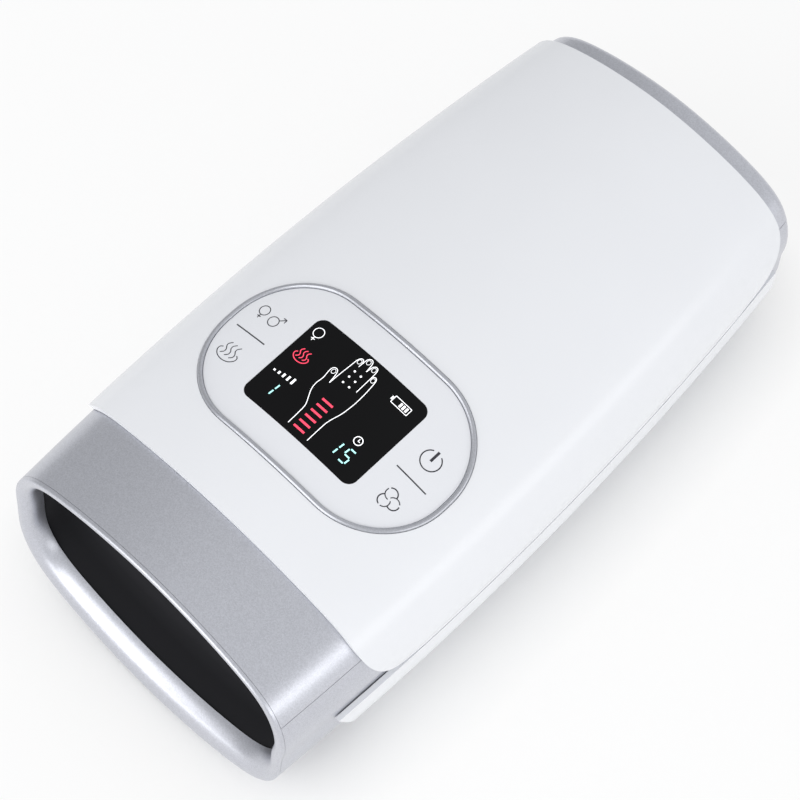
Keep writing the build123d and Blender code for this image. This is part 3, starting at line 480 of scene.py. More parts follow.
# %% Cross-sections of the mouth and the pocket
BODY_WIDTH, BODY_LENGTH, BODY_HEIGHT = 165.0, 316.0, 103.0
WIDEST_HEIGHT, FOOT_PROUD = 55.0, 1.5
LEAN_SHARE, WAIST_SHARE = 0.042, 0.100
SIDE_POWER, CROWN_POWER = 1.72, 3.9
MOUTH_SLANT = radians(9.0)
HEM_SIDE, HEM_TOP, HEM_BASE = 8.6, 7.6, 12.1
HEM_DEPTH = 8.75
FLARE_START, FLARE_END = -131.5, -113.0
POCKET_HALF, POCKET_LOW, POCKET_HIGH, POCKET_POWER = 61.5, 33.6, 68.8, 3.0
POCKET_BACK = 83.8
RING_POINTS = 120
TURNS = [2 * pi * step / RING_POINTS for step in range(RING_POINTS)]
HALVINGS = 36


def curve_point(turn, across, up, down, middle, power_x, power_z):
    """A point of a closed curve, found where run**power_x + climb**power_z comes to one."""
    near, far = 0.5, 2.0
    for _ in range(HALVINGS):
        reach = (near + far) / 2
        full = (reach * abs(cos(turn))) ** power_x + (reach * abs(sin(turn))) ** power_z
        near, far = (near, reach) if full > 1 else (reach, far)
    rise = up if sin(turn) > 0 else down
    return across * near * cos(turn), middle + rise * near * sin(turn)


def mouth_point(turn, y):
    """A point of the sleeve's wide end, in the cross-section at y."""
    along = y / (BODY_LENGTH / 2)
    half = BODY_WIDTH / 2 * (1 - LEAN_SHARE * along - WAIST_SHARE * along**2)
    return curve_point(
        turn, half - HEM_SIDE, BODY_HEIGHT - HEM_TOP - WIDEST_HEIGHT,
        WIDEST_HEIGHT - FOOT_PROUD - HEM_BASE, WIDEST_HEIGHT, SIDE_POWER, CROWN_POWER,
    )


def pocket_point(turn, shrink):
    """A point of the flat pocket, drawn in by shrink."""
    rise = (POCKET_HIGH - POCKET_LOW) / 2 - shrink
    return curve_point(
        turn, POCKET_HALF - shrink, rise, rise, (POCKET_HIGH + POCKET_LOW) / 2,
        POCKET_POWER, POCKET_POWER,
    )


# %% The slanted hem
HEM_ROOM = 0.4


def hem_place(turn):
    """How far back the hem lies there: it follows the slanted lip, closer with each round."""
    y = FLARE_START
    for _ in range(4):
        height = mouth_point(turn, y)[1]
        y = -BODY_LENGTH / 2 + height * tan(MOUTH_SLANT) + HEM_DEPTH / cos(MOUTH_SLANT)
    return min(y, FLARE_START - HEM_ROOM)


hems = [hem_place(turn) for turn in TURNS]
print("hem from", round(min(hems), 1), "to", round(max(hems), 1), "mm")

# %% Rings of the sleeve
COLLAR_SHARES = (0.0, 0.3, 0.65)
FLARE_STEPS = 8
FLARE_EASE = 0.45
POCKET_ROUND = 5.0
BACK_EDGE = ((0.6, 3.0), (2.2, 1.0), (5.0, 0.0))


def collar_rings():
    """From the slanted hem to the start of the pocket."""
    rings = []
    for share in COLLAR_SHARES:
        places = [hem + share * (FLARE_START - hem) for hem in hems]
        rings.append([(*mouth_point(turn, y), y) for turn, y in zip(TURNS, places)])
    for step in range(FLARE_STEPS + 1):
        share = step / FLARE_STEPS
        soft = share + FLARE_EASE * (share * share * (3 - 2 * share) - share)
        y = FLARE_START + share * (FLARE_END - FLARE_START)
        ring = []
        for turn in TURNS:
            wide, flat = mouth_point(turn, FLARE_START), pocket_point(turn, 0)
            ring.append((*[start + soft * (end - start) for start, end in zip(wide, flat)], y))
        rings.append(ring)
    return rings


def pocket_rings(first, last, shrink, steps):
    """Along the pocket, with a rounded edge at its back."""
    run = last - POCKET_ROUND - first
    stages = [(shrink, first + step / steps * run) for step in range(1, steps + 1)]
    stages += [(shrink + tuck, last - back) for tuck, back in BACK_EDGE]
    return [[(*pocket_point(turn, tuck), y) for turn in TURNS] for tuck, y in stages]


# %% Drawing a sleeve ring by ring
def layers_of(sleeve):
    """The mesh in edit mode, with the layers that say in which column and row a point was knitted."""
    mesh = bmesh.from_edit_mesh(sleeve.data)
    return mesh, mesh.verts.layers.int["column"], mesh.verts.layers.int["row"]


def start_ring(name):
    """A circle in edit mode, with its points numbered round it."""
    bpy.ops.object.select_all(action="DESELECT")
    bpy.ops.mesh.primitive_circle_add(vertices=RING_POINTS, radius=POCKET_HALF * MM)
    sleeve = bpy.context.object
    sleeve.name = name
    bpy.ops.object.mode_set(mode="EDIT")
    bpy.ops.mesh.select_mode(type="VERT")
    bpy.ops.mesh.select_all(action="SELECT")
    mesh = bmesh.from_edit_mesh(sleeve.data)
    for layer in ("column", "row"):
        mesh.verts.layers.int.new(layer)
    mesh, column, _ = layers_of(sleeve)
    for index, vert in enumerate(mesh.verts):
        vert[column] = index
    return sleeve


def running_length(places):
    """How far along a line each of its points lies, in metres."""
    lengths = [0.0]
    for here, after in zip(places, places[1:]):
        lengths.append(lengths[-1] + hypot(after[0] - here[0], after[1] - here[1]) * MM)
    return lengths


def map_knit(sleeve, rings):
    """Gives the sleeve a UV map in metres: round it and along it, and flat on its closed end."""
    mesh, column, row = layers_of(sleeve)
    last = [place[:2] for place in rings[-1]]
    across = running_length(last + last[:1])
    ahead = running_length([(ring[0][2], ring[0][0]) for ring in rings])
    layer = mesh.loops.layers.uv.new("knit")
    for face in mesh.faces:
        wraps = {0, RING_POINTS - 1} <= {vert[column] for vert in face.verts}
        for loop in face.loops:
            if len(face.verts) > 4:
                loop[layer].uv = (loop.vert.co.x, loop.vert.co.z)
                continue
            place = loop.vert[column]
            place = RING_POINTS if wraps and place == 0 else place
            loop[layer].uv = (across[place], ahead[loop.vert[row]])
    bmesh.update_edit_mesh(sleeve.data)


def draw_sleeve(name, rings):
    """Extrudes a circle through the rings, closes its end and maps it."""
    sleeve = start_ring(name)
    for number, ring in enumerate(rings):
        if number:
            bpy.ops.mesh.extrude_region_move()
        mesh, column, row = layers_of(sleeve)
        for vert in mesh.verts:
            if vert.select:
                x, z, y = ring[vert[column]]
                vert.co = Vector((x, y, z)) * MM
                vert[row] = number
        bmesh.update_edit_mesh(sleeve.data)
    bpy.ops.mesh.edge_face_add()
    map_knit(sleeve, rings)
    bpy.ops.mesh.select_all(action="SELECT")
    bpy.ops.mesh.normals_make_consistent(inside=False)
    bpy.ops.object.mode_set(mode="OBJECT")
    return sleeve


def cut_away(sleeve, height, behind, above):
    """Cuts the sleeve at a height and deletes what lies over or under it, behind a place."""
    bpy.ops.object.mode_set(mode="EDIT")
    bpy.ops.mesh.select_all(action="SELECT")
    bpy.ops.mesh.bisect(plane_co=(0, 0, height * MM), plane_no=(0, 0, 1))
    bpy.ops.mesh.select_all(action="DESELECT")
    bpy.ops.mesh.select_mode(type="FACE")
    mesh = bmesh.from_edit_mesh(sleeve.data)
    for face in mesh.faces:
        middle = face.calc_center_median()
        face.select = (middle.z > height * MM) == above and middle.y > behind * MM
    bmesh.update_edit_mesh(sleeve.data)
    bpy.ops.mesh.delete(type="FACE")
    bpy.ops.object.mode_set(mode="OBJECT")


# %% Applying a modifier
def select_only(piece):
    """Makes a piece the active one and selects it alone."""
    bpy.ops.object.select_all(action="DESELECT")
    bpy.context.view_layer.objects.active = piece
    piece.select_set(True)


def apply_modifier(piece, kind, **values):
    """Adds a modifier with its values and applies it."""
    select_only(piece)
    bpy.ops.object.modifier_add(type=kind)
    modifier = piece.modifiers[-1]
    for name, value in values.items():
        setattr(modifier, name, value)
    bpy.ops.object.modifier_apply(modifier=modifier.name)


# %% The sleeve's two pieces
WALL = 1.0
OVERLAP = 1.5
ROOF_EDGE, FLOOR_EDGE = 43.0, 51.0
ROOF_OPEN_SET = 7.0
FLOOR_FRONT_SET, FLOOR_BACK_SET = 3.0, 2.2
ROOF_RINGS, FLOOR_RINGS = 24, 26
CREASE_ANGLE = radians(40)

upper_rings = collar_rings() + pocket_rings(FLARE_END, POCKET_BACK, 0, ROOF_RINGS)
floor_rings = pocket_rings(FLARE_END - FLOOR_FRONT_SET, POCKET_BACK - FLOOR_BACK_SET, OVERLAP, FLOOR_RINGS)
liner_upper = draw_sleeve("liner_upper", upper_rings)
cut_away(liner_upper, ROOF_EDGE, FLARE_END + ROOF_OPEN_SET, above=False)
liner_floor = draw_sleeve("liner_floor", floor_rings)
cut_away(liner_floor, FLOOR_EDGE, -BODY_LENGTH, above=True)
for piece in (liner_upper, liner_floor):
    apply_modifier(piece, "SOLIDIFY", thickness=WALL * MM, offset=-1.0)
    bpy.ops.object.shade_smooth_by_angle(angle=CREASE_ANGLE)
    for extra in ("column", "row"):
        piece.data.attributes.remove(piece.data.attributes[extra])

# %% [markdown]
# ## Ribbed knit
# The cloth is a fine rib knit. Its ribs run along the sleeve, and each rib is a row of small stitches. Two
# waves on the sleeve's own map, a strong one round it and a weak one along it, give that height. The same
# height sets the colour: painted shade darkens the grooves and a painted highlight lightens the crests. The
# map is measured at the pocket's closed end, so the ribs spread a little where the mouth stretches the
# cloth.

# %% Ribbed knit
RIB_PITCH = 0.9
STITCH_PITCH = 1.3
STITCH_SHARE = 0.25
KNIT_BUMP, KNIT_DEPTH = 0.6, 0.25
KNIT_ROUGHNESS, KNIT_SPECULAR = 0.85, 0.2
FUZZ_WEIGHT, FUZZ_ROUGHNESS = 0.06, 0.5


def wave_along(tree, value, pitch):
    """A wave that comes back after each pitch, in mm."""
    return calculate(tree, "SINE", calculate(tree, "MULTIPLY", value, 2 * pi / (pitch * MM)))


def ribbed_knit(name, dark, light):
    """Fine ribs along the sleeve, each one a row of small stitches, painted darker in the grooves as shade.
    """
    material, tree, shader = new_surface(name)
    coordinates = tree.nodes.new("ShaderNodeTexCoord")
    parts = tree.nodes.new("ShaderNodeSeparateXYZ")
    tree.links.new(coordinates.outputs["UV"], parts.inputs["Vector"])
    ribs = wave_along(tree, parts.outputs["X"], RIB_PITCH)
    stitches = wave_along(tree, parts.outputs["Y"], STITCH_PITCH)
    relief = calculate(tree, "MULTIPLY_ADD", stitches, STITCH_SHARE, ribs)
    height = map_range(tree, relief, (-1 - STITCH_SHARE, 1 + STITCH_SHARE), (0, 1))
    # The colour follows the height: painted shade in the grooves, a painted highlight on the crests.
    two_tones(tree, shader, height, dark, light)
    raise_surface(tree, shader, height, KNIT_BUMP, KNIT_DEPTH)
    shader.inputs["Roughness"].default_value = KNIT_ROUGHNESS
    shader.inputs["Specular IOR Level"].default_value = KNIT_SPECULAR
    shader.inputs["Sheen Weight"].default_value = FUZZ_WEIGHT
    shader.inputs["Sheen Roughness"].default_value = FUZZ_ROUGHNESS
    return material


# The first colour is the painted shade in the grooves, the second the painted highlight on the rib crests.
knit = ribbed_knit("black_ribbed_knit", (0.004, 0.004, 0.005, 1), (0.030, 0.030, 0.035, 1))
for piece in (liner_upper, liner_floor):
    piece.data.materials.append(knit)
    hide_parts("liner")
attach(liner_upper, "chassis")
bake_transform(liner_floor)

# %% [markdown]
# ## Silver ring round the panel
# The ring is a moulded bead: round on top, so that it catches a thin line of light all the way round. A
# bead of one width along a path is what a curve with a round bevel gives. The path runs along the
# middle of the solid ring, each point laid on the ring's top, so the bead follows the crown.

# %% Ring bead
PANEL_WIDTH, PANEL_DEPTH, PANEL_CORNER = 121.0, 74.0, 35.0
PANEL_Y = -41.9
BEAD_RADIUS, BEAD_STEP = 1.1, 3.0
CORNER_STEPS = 30
DROP_HEIGHT = 200.0


def rounded_path(width, depth, corner, steps):
    """Points round a rectangle with round corners, in mm about its middle."""
    points = []
    corners = ((1, 1, 0), (-1, 1, 90), (-1, -1, 180), (1, -1, 270))
    for side, end, start in corners:
        x, y = side * (width / 2 - corner), end * (depth / 2 - corner)
        for step in range(steps + 1):
            turn = radians(start + 90 * step / steps)
            points.append((x + corner * cos(turn), y + corner * sin(turn)))
    return points


def short_steps(points, length):
    """The same line with more points, so that its steps come out about as long as length."""
    line = [points[0]]
    for here, after in zip(points, points[1:]):
        count = max(1, round(hypot(after[0] - here[0], after[1] - here[1]) / length))
        for step in range(1, count + 1):
            line.append(tuple(p + step / count * (q - p) for p, q in zip(here, after)))
    return line


def drop(carrier, x, y):
    """The place on a CAD node's top that lies straight under a point, given in mm."""
    start = Vector((x * MM, y * MM, DROP_HEIGHT * MM))
    hit, place, _, _ = nodes[carrier].ray_cast(start, Vector((0, 0, -1)))
    if not hit:
        raise ValueError(f"nothing of {carrier} lies under {x:.1f}, {y:.1f}")
    return place


# %% A round bar
BAR_STEPS = 5


def round_bar(name, points, radius, material, closed):
    """A round bar along a line: a curve with a round bevel, turned into a mesh."""
    line = bpy.data.curves.new(name, "CURVE")
    line.dimensions = "3D"
    line.bevel_depth = radius
    line.bevel_resolution = BAR_STEPS
    line.use_fill_caps = not closed
    spline = line.splines.new("POLY")
    spline.points.add(len(points) - 1)
    spline.use_cyclic_u = closed
    for point, place in zip(spline.points, points):
        point.co = (*place, 1)
    made = bpy.data.objects.new(name, line)
    bpy.context.collection.objects.link(made)
    select_only(made)
    bpy.ops.object.convert(target="MESH")
    bpy.ops.object.shade_smooth()
    made = bpy.context.object
    made.data.materials.clear()
    made.data.materials.append(material)
    return made


# %% The bead on the crown
middle_line = rounded_path(
    PANEL_WIDTH - 2 * BEAD_RADIUS, PANEL_DEPTH - 2 * BEAD_RADIUS, PANEL_CORNER - BEAD_RADIUS, CORNER_STEPS
)
ring_line = []
for x, y in short_steps(middle_line + middle_line[:1], BEAD_STEP)[:-1]:
    place = drop("panel_bezel", x, y + PANEL_Y)
    ring_line.append((place.x, place.y, place.z - BEAD_RADIUS * MM))
bead = round_bar("panel_ring_bead", ring_line, BEAD_RADIUS * MM, trim_silver, closed=True)
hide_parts("panel_bezel")
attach(bead, "chassis")
print("ring bead", len(bead.data.polygons), "faces")

# %% [markdown]
# ## Air cuffs
# An air cuff is two sheets of film welded together round the edge, with a nozzle welded in. It is made as
# it looks: a thin plate with round corners stands for the weld, and insets that each rise a little crown
# it above and below. When air comes in, the lift cuff's upper sheet goes up with the palm plate, while its
# weld, its lower sheet and its nozzle stay where they are. Here each bag is made as one piece, and only
# the lift cuff's bag is kept apart from the housing.

# %% Sizes of a cuff and its nozzle
CUFF_THICKNESS, CUFF_CORNER = 6.0, 14.0
LIFT_CUFF_LENGTH = 176.0
WELD_THICKNESS = 0.8
CROWN_STEPS = ((2.0, 0.1), (1.0, 1.1), (1.6, 0.8), (3.0, 0.4), (6.0, 0.2))
CORNER_SEGMENTS = 10
BAG_CREASE = radians(50)
NOZZLE_RADIUS, NOZZLE_WALL = 2.5, 0.7
NOZZLE_ROUND, BORE_TAPER, BORE_SHARE = 0.25, 0.05, 0.7
NOZZLE_SIDES, NOZZLE_ROUND_STEPS = 40, 3
NOZZLE_CREASE = radians(35)
NOZZLE_ROOT = 4.0
SAME_WAY = 0.9


def places_of(name):
    """The points of a CAD node, with the lowest and the highest corner of its box."""
    piece = nodes[name]
    places = [piece.matrix_world @ vert.co for vert in piece.data.vertices]
    low = Vector([min(place[axis] for place in places) for axis in range(3)])
    high = Vector([max(place[axis] for place in places) for axis in range(3)])
    return places, low, high


# %% Shaping a cuff and its nozzle
def pick_end(piece, way):
    """In edit mode, selects the face that lies furthest along a direction, and no other."""
    bpy.ops.mesh.select_all(action="DESELECT")
    mesh = bmesh.from_edit_mesh(piece.data)
    facing = [face for face in mesh.faces if face.normal.dot(way) > SAME_WAY]
    reach = {face: round(face.calc_center_median().dot(way), 6) for face in facing}
    furthest = max(facing, key=lambda face: (reach[face], face.calc_area()))
    furthest.select = True
    bmesh.update_edit_mesh(piece.data)


def air_cuff(name, low, width, length):
    """A welded bag whose lowest corner is at low."""
    middle = low + Vector((width, length, CUFF_THICKNESS * MM)) / 2
    bpy.ops.object.select_all(action="DESELECT")
    bpy.ops.mesh.primitive_cube_add(size=1, location=middle, scale=(width, length, WELD_THICKNESS * MM))
    bag = bpy.context.object
    bag.name = name
    bpy.ops.object.transform_apply(location=True, rotation=False, scale=True)
    bpy.ops.object.mode_set(mode="EDIT")
    bpy.ops.mesh.select_mode(type="EDGE")
    bpy.ops.mesh.select_all(action="DESELECT")
    mesh = bmesh.from_edit_mesh(bag.data)
    for edge in mesh.edges:
        edge.select = abs(edge.verts[0].co.z - edge.verts[1].co.z) > WELD_THICKNESS * MM / 2
    bmesh.update_edit_mesh(bag.data)
    bpy.ops.mesh.bevel(offset=CUFF_CORNER * MM, segments=CORNER_SEGMENTS, affect="EDGES")
    bpy.ops.mesh.select_mode(type="FACE")
    for way in (Vector((0, 0, 1)), Vector((0, 0, -1))):
        for inward, outward in CROWN_STEPS:
            pick_end(bag, way)
            bpy.ops.mesh.inset(thickness=inward * MM, depth=outward * MM)
    bpy.ops.object.mode_set(mode="OBJECT")
    bpy.ops.object.shade_smooth_by_angle(angle=BAG_CREASE)
    return bag


def nozzle(name, foot, tip):
    """A short open tube from foot to tip, with a rounded mouth."""
    run = tip - foot
    bpy.ops.object.select_all(action="DESELECT")
    bpy.ops.mesh.primitive_cylinder_add(
        vertices=NOZZLE_SIDES, radius=NOZZLE_RADIUS * MM, depth=run.length, location=(foot + tip) / 2,
        rotation=run.to_track_quat("Z", "Y").to_euler(),
    )
    tube = bpy.context.object
    tube.name = name
    bpy.ops.object.transform_apply(location=True, rotation=True, scale=True)
    bpy.ops.object.mode_set(mode="EDIT")
    bpy.ops.mesh.select_mode(type="FACE")
    way = run.normalized()
    pick_end(tube, way)
    bpy.ops.mesh.bevel(offset=NOZZLE_ROUND * MM, segments=NOZZLE_ROUND_STEPS, affect="EDGES")
    pick_end(tube, way)
    bpy.ops.mesh.inset(thickness=NOZZLE_WALL * MM, depth=0.0)
    bpy.ops.mesh.inset(thickness=BORE_TAPER * MM, depth=-BORE_SHARE * run.length)
    bpy.ops.object.mode_set(mode="OBJECT")
    bpy.ops.object.shade_smooth_by_angle(angle=NOZZLE_CREASE)
    return tube


# %% The four cuffs
TIP_DEPTH = 0.1

for name in ("finger_cuff", "palm_cuff", "wrist_cuff", "lift_cuff"):
    places, low, high = places_of(name)
    lifts = name == "lift_cuff"
    length = LIFT_CUFF_LENGTH * MM if lifts else high.y - low.y
    bag = air_cuff(name + "_bag", low, high.x - low.x, length)
    nozzle_axis = 1 if lifts else 2
    far = [place for place in places if high[nozzle_axis] - place[nozzle_axis] < TIP_DEPTH * MM]
    tip = sum(far, Vector()) / len(far)
    weld_height = low.z + CUFF_THICKNESS * MM / 2
    foot = Vector((tip.x, tip.y, weld_height))
    if lifts:
        foot = Vector((tip.x, low.y + length - NOZZLE_ROOT * MM, tip.z))
    tube = nozzle(name + "_nozzle", foot, tip)
    for piece in (bag, tube):
        piece.data.materials.clear()
        piece.data.materials.append(cuff_film)
        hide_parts(name)
    if lifts:
        top = low.z + CUFF_THICKNESS * MM
        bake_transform(bag)
    else:
        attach(bag, "chassis")
    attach(tube, "chassis")
    print(name, len(bag.data.polygons), "and", len(tube.data.polygons), "faces")

# %% [markdown]
# ## Valve springs
# The solid model keeps each valve spring as a plain sleeve. Here each one becomes a coil of wire. Its
# first and last turns lie flat, as on a ground spring. The plunger presses it together, so its low end
# moves with the plunger and its high end stays where it is. Here the coil is made at one length, as tall
# as the sleeve that it takes the place of.

# %% Valve springs
WIRE_RADIUS = 0.3
SPRING_TURNS = 5.0
TURN_STEPS = 24
FLAT_TURNS = 0.6

for number in (1, 2, 3):
    _, low, high = places_of(f"valve_spring_{number}")
    middle = (low + high) / 2
    radius = (high.x - low.x) / 2 - WIRE_RADIUS * MM
    bottom, top = low.z + WIRE_RADIUS * MM, high.z - WIRE_RADIUS * MM
    coil = []
    for step in range(round(SPRING_TURNS * TURN_STEPS) + 1):
        turn = step / TURN_STEPS
        share = (turn - FLAT_TURNS) / (SPRING_TURNS - 2 * FLAT_TURNS)
        height = bottom + min(max(share, 0.0), 1.0) * (top - bottom)
        angle = 2 * pi * turn
        coil.append((middle.x + radius * cos(angle), middle.y + radius * sin(angle), height))
    spring = round_bar(f"valve_coil_{number}", coil, WIRE_RADIUS * MM, steel, closed=False)
    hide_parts(f"valve_spring_{number}")
    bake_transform(spring)
    print("valve spring", number, len(spring.data.polygons), "faces")

# %% [markdown]
# ## Lit display and printed keys
# The display shows a hand, a few signs and two plain numbers behind the window. The keys are thin grey
# line drawings printed on the touch plate. All of it is flat, but the crown is curved, so each line is
# drawn flat as a strip of short quads and then dropped straight down on the surface, where it gets a
# hair of thickness. Signs that say what a word would say take the place of words.

# %% Arcs and soft curves
def arc(x, y, radius, start, end, squash=1.0, count=28):
    """Points on an arc, from one angle in degrees to another."""
    turns = [radians(start + (end - start) * step / count) for step in range(count + 1)]
    return [(x + radius * cos(turn), y + radius * squash * sin(turn)) for turn in turns]


def smooth(points, count=7):
    """A soft curve through the points."""
    line = []
    ends = [points[0]] + list(points) + [points[-1]]
    for a, b, c, d in zip(ends, ends[1:], ends[2:], ends[3:]):
        for step in range(count):
            t = step / count
            line.append(tuple(
                0.5 * (2 * q + (r - p) * t + (2 * p - 5 * q + 4 * r - s) * t**2
                       + (3 * q - p - 3 * r + s) * t**3)
                for p, q, r, s in zip(a, b, c, d)
            ))
    return line + [points[-1]]


# %% Strips, bars and dots
STEP_LENGTH = 0.9
SAME_PLACE = 1e-6


def stroke(mesh, points, width):
    """A flat strip of quads along a line; a line that ends where it starts is closed."""
    points = short_steps(points, STEP_LENGTH)
    loop = hypot(points[0][0] - points[-1][0], points[0][1] - points[-1][1]) < SAME_PLACE
    points = points[:-1] if loop else points
    sides = []
    for index, (x, y) in enumerate(points):
        before = points[index - 1] if index or loop else points[index]
        after = points[(index + 1) % len(points)] if index + 1 < len(points) or loop else points[index]
        run, climb = after[0] - before[0], after[1] - before[1]
        length = hypot(run, climb)
        across = (-climb / length * width / 2, run / length * width / 2)
        sides.append((mesh.verts.new((x + across[0], y + across[1], 0)),
                      mesh.verts.new((x - across[0], y - across[1], 0))))
    pairs = list(zip(sides, sides[1:] + (sides[:1] if loop else [])))
    for here, after in pairs:
        mesh.faces.new((here[0], here[1], after[1], after[0]))


def bar(mesh, x, y, width, height):
    """A filled upright rectangle about a middle."""
    if width > height:
        stroke(mesh, [(x - width / 2, y), (x + width / 2, y)], height)
    else:
        stroke(mesh, [(x, y - height / 2), (x, y + height / 2)], width)


def dot(mesh, x, y, radius, count=20):
    """A filled circle."""
    rim = [mesh.verts.new((px, py, 0)) for px, py in arc(x, y, radius, 0, 360, count=count)[:-1]]
    mesh.faces.new(rim)


# %% Laying a print
PANEL_X = 0.4
PRINT_GAP, PRINT_RISE = 0.002, 0.03


def lay_print(name, draw, carrier, material):
    """Makes one print: draws it flat, drops it on the carrier and gives it its thickness."""
    flat = bmesh.new()
    draw(flat)
    mesh = bpy.data.meshes.new(name)
    piece = bpy.data.objects.new(name, mesh)
    bpy.context.collection.objects.link(piece)
    for vert in flat.verts:
        place = drop(carrier, vert.co.x + PANEL_X, vert.co.y + PANEL_Y)
        vert.co = place + Vector((0, 0, PRINT_GAP * MM))
    flat.to_mesh(mesh)
    flat.free()
    apply_modifier(piece, "SOLIDIFY", thickness=PRINT_RISE * MM, offset=1.0)
    mesh.materials.append(material)
    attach(piece, "chassis")
    print(name, len(mesh.polygons), "faces")
    return piece


# %% Signs
def woman_sign(mesh, x, y, width):
    """A circle over a cross."""
    stroke(mesh, arc(x, y, 2.3, -90, 270), width)
    stroke(mesh, [(x, y - 2.3), (x, y - 4.3)], width)
    stroke(mesh, [(x - 0.9, y - 3.3), (x + 0.9, y - 3.3)], width)


def man_sign(mesh, x, y, width):
    """A circle with an arrow up to the right."""
    stroke(mesh, arc(x, y, 2.35, 45, 405), width)
    tip = (x + 4.0, y + 3.8)
    stroke(mesh, [(x + 1.66, y + 1.66), tip], width)
    stroke(mesh, [(tip[0] - 1.7, tip[1]), tip], width)
    stroke(mesh, [tip, (tip[0], tip[1] - 1.7)], width)


def heat_sign(mesh, x, y, size, width):
    """Three rising waves over a shallow bowl."""
    for shift in (-0.27, 0.0, 0.27):
        wave = [(-0.07, -0.20), (0.06, -0.07), (0.05, 0.08), (-0.06, 0.22), (-0.06, 0.36), (0.06, 0.50)]
        stroke(mesh, smooth([(x + size * (shift + a), y + size * b) for a, b in wave]), width)
    bowl = [(-0.42, 0.10), (-0.54, 0.0), (-0.52, -0.18), (-0.32, -0.36), (0.0, -0.43), (0.32, -0.36),
            (0.52, -0.18), (0.54, 0.0), (0.42, 0.10)]
    stroke(mesh, smooth([(x + size * a, y + size * b) for a, b in bowl]), width)


# %% White display signs
THIN = 0.31


def draw_hand(mesh):
    """The outline of a hand from thumb to little finger, with its nails and six dots on its back."""
    thumb = [(-6.0, -19.9), (-6.2, -14.5), (-6.6, -10.1), (-8.3, -6.7), (-9.9, -3.6), (-10.5, -0.4),
             (-10.2, 3.2), (-10.7, 6.6), (-10.6, 8.5), (-9.7, 9.4), (-8.4, 9.2), (-7.6, 7.6), (-6.8, 3.2)]
    first = [(-6.8, 3.2), (-6.6, 8.4), (-6.2, 14.5), (-6.0, 17.6), (-5.2, 19.2), (-4.1, 19.2), (-3.4, 18.0)]
    second = [(-3.4, 18.0), (-3.2, 20.3), (-2.4, 21.4), (-1.3, 21.5), (-0.5, 20.6), (-0.1, 18.6),
              (0.2, 16.4)]
    third = [(0.2, 16.4), (0.6, 19.2), (1.4, 20.4), (2.5, 20.4), (3.2, 19.2), (3.5, 15.8)]
    fourth = [(3.5, 15.8), (4.2, 16.9), (5.2, 16.9), (5.9, 15.6), (6.4, 11.8), (6.7, 8.2), (6.8, 3.4),
              (6.3, -2.8), (5.1, -7.8), (4.7, -11.5), (4.8, -20.3)]
    for line in (thumb, first, second, third, fourth):
        stroke(mesh, smooth(line), THIN)
    stroke(mesh, smooth([(3.5, 15.8), (3.6, 11.5), (3.7, 7.4)]), THIN)
    stroke(mesh, smooth([(-3.4, 18.0), (-3.5, 15.9)]), THIN)
    for x, y in ((-9.2, 7.8), (-4.8, 17.7), (-1.9, 19.9), (1.9, 18.9), (4.8, 15.4)):
        stroke(mesh, arc(x, y, 0.85, 0, 360, squash=1.25, count=18), 0.2)
    for x in (-3.15, 0.15):
        for y in (7.0, 10.3, 13.45):
            dot(mesh, x, y, 0.46)


def draw_white(mesh):
    """The hand, a sign, a battery, a row of level bars and a clock."""
    draw_hand(mesh)
    woman_sign(mesh, -26.0, 16.2, THIN)
    case = [(15.7, 14.1), (24.0, 14.1), (24.0, 17.4), (15.7, 17.4), (15.7, 14.1)]
    for start, end in zip(case, case[1:]):
        stroke(mesh, [start, end], THIN)
    bar(mesh, 15.1, 15.75, 0.8, 1.6)
    for x in (19.6, 21.1, 22.6):
        bar(mesh, x, 15.75, 0.95, 2.0)
    for step in range(5):
        height = 0.8 + 0.5 * step
        bar(mesh, -26.9 + 2.35 * step, -7.5 + height / 2, 0.95, height)
    stroke(mesh, arc(18.7, -6.5, 1.8, 90, 450), 0.36)
    stroke(mesh, [(18.7, -6.6), (18.7, -5.4)], 0.3)
    stroke(mesh, [(18.6, -6.6), (19.6, -6.6)], 0.3)


# %% Red bars and numbers
def draw_red(mesh):
    """Warming bars across the wrist, and the sign for heat."""
    for step in range(6):
        bar(mesh, -1.0, -18.9 + 3.07 * step, 5.6, 0.95)
    heat_sign(mesh, -23.3, 4.2, 6.6, 0.42)


SEGMENT = 0.62
LEAN = 0.10


def digit(mesh, x, y, lit, wide=3.2, tall=6.4):
    """A number of lit segments: three level ones and four upright ones about a middle."""
    half, lift, gap = wide / 2, tall / 2, 0.42
    rungs = {"top": lift, "middle": 0.0, "low": -lift}
    for name, height in rungs.items():
        if name in lit:
            shift = x + LEAN * height
            stroke(mesh, [(shift - half + gap, y + height), (shift + half - gap, y + height)], SEGMENT)
    for name, side, end in (("left_up", -1, 1), ("right_up", 1, 1), ("left_down", -1, -1),
                            ("right_down", 1, -1)):
        if name in lit:
            near, far = end * gap, end * (lift - gap)
            edge = x + side * half
            stroke(mesh, [(edge + LEAN * near, y + near), (edge + LEAN * far, y + far)], SEGMENT)


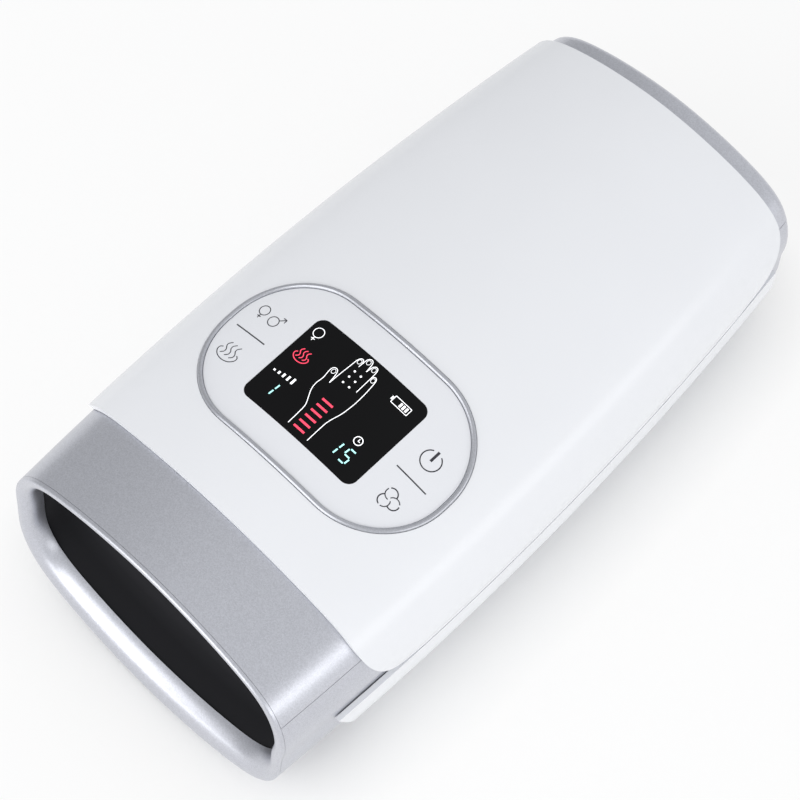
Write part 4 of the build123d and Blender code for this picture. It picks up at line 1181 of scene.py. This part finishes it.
def draw_numbers(mesh):
    """The level, 1, and the minutes, 15."""
    one = ("right_up", "right_down")
    digit(mesh, -22.0, -13.5, one)
    digit(mesh, 13.9, -14.0, one)
    digit(mesh, 20.1, -14.0, ("top", "left_up", "middle", "right_down", "low"))


# %% Printed keys
INK = 0.40


def draw_keys(mesh):
    """Four key signs in two pairs, with a line between the two of each pair."""
    woman_sign(mesh, -50.6, 10.0, INK)
    man_sign(mesh, -43.9, 8.3, INK)
    stroke(mesh, [(-54.5, -1.75), (-38.5, -1.75)], 0.55)
    heat_sign(mesh, -46.9, -13.4, 9.2, INK)
    stroke(mesh, arc(43.2, 8.2, 4.3, 118, 422), 0.5)
    stroke(mesh, [(43.2, 7.9), (43.2, 13.0)], 1.1)
    stroke(mesh, [(35.6, -2.7), (51.0, -2.7)], 0.55)
    for turn in (113, 233, 353):
        x, y = 43.2 + 2.2 * cos(radians(turn)), -14.4 + 2.2 * sin(radians(turn))
        stroke(mesh, arc(x, y, 2.5, turn - 110, turn + 25), 0.5)
        stroke(mesh, arc(x, y, 2.5, turn + 45, turn + 165), 0.42)


# %% Lit and printed finishes
GLOW = 0.75
SCREEN_ROUGHNESS = 0.4


def lit_finish(name, color):
    """Light that comes through the window: it glows in its own colour."""
    material, tree, shader = new_surface(name)
    shader.inputs["Base Color"].default_value = (*color, 1)
    shader.inputs["Emission Color"].default_value = (*color, 1)
    shader.inputs["Emission Strength"].default_value = GLOW
    shader.inputs["Roughness"].default_value = SCREEN_ROUGHNESS
    return material


lit_white = lit_finish("lit_white", (0.92, 0.93, 0.95))
lit_red = lit_finish("lit_red", (0.80, 0.055, 0.11))
lit_cyan = lit_finish("lit_cyan", (0.42, 0.86, 0.84))
grey_ink = finish("grey_key_ink", (0.045, 0.045, 0.055), 0.5, size=1500, tone=0.1, bump=0.0, specular=0.2)
lay_print("display_white", draw_white, "display_window", lit_white)
lay_print("display_red", draw_red, "display_window", lit_red)
lay_print("display_numbers", draw_numbers, "display_window", lit_cyan)
lay_print("key_prints", draw_keys, "touch_plate", grey_ink)
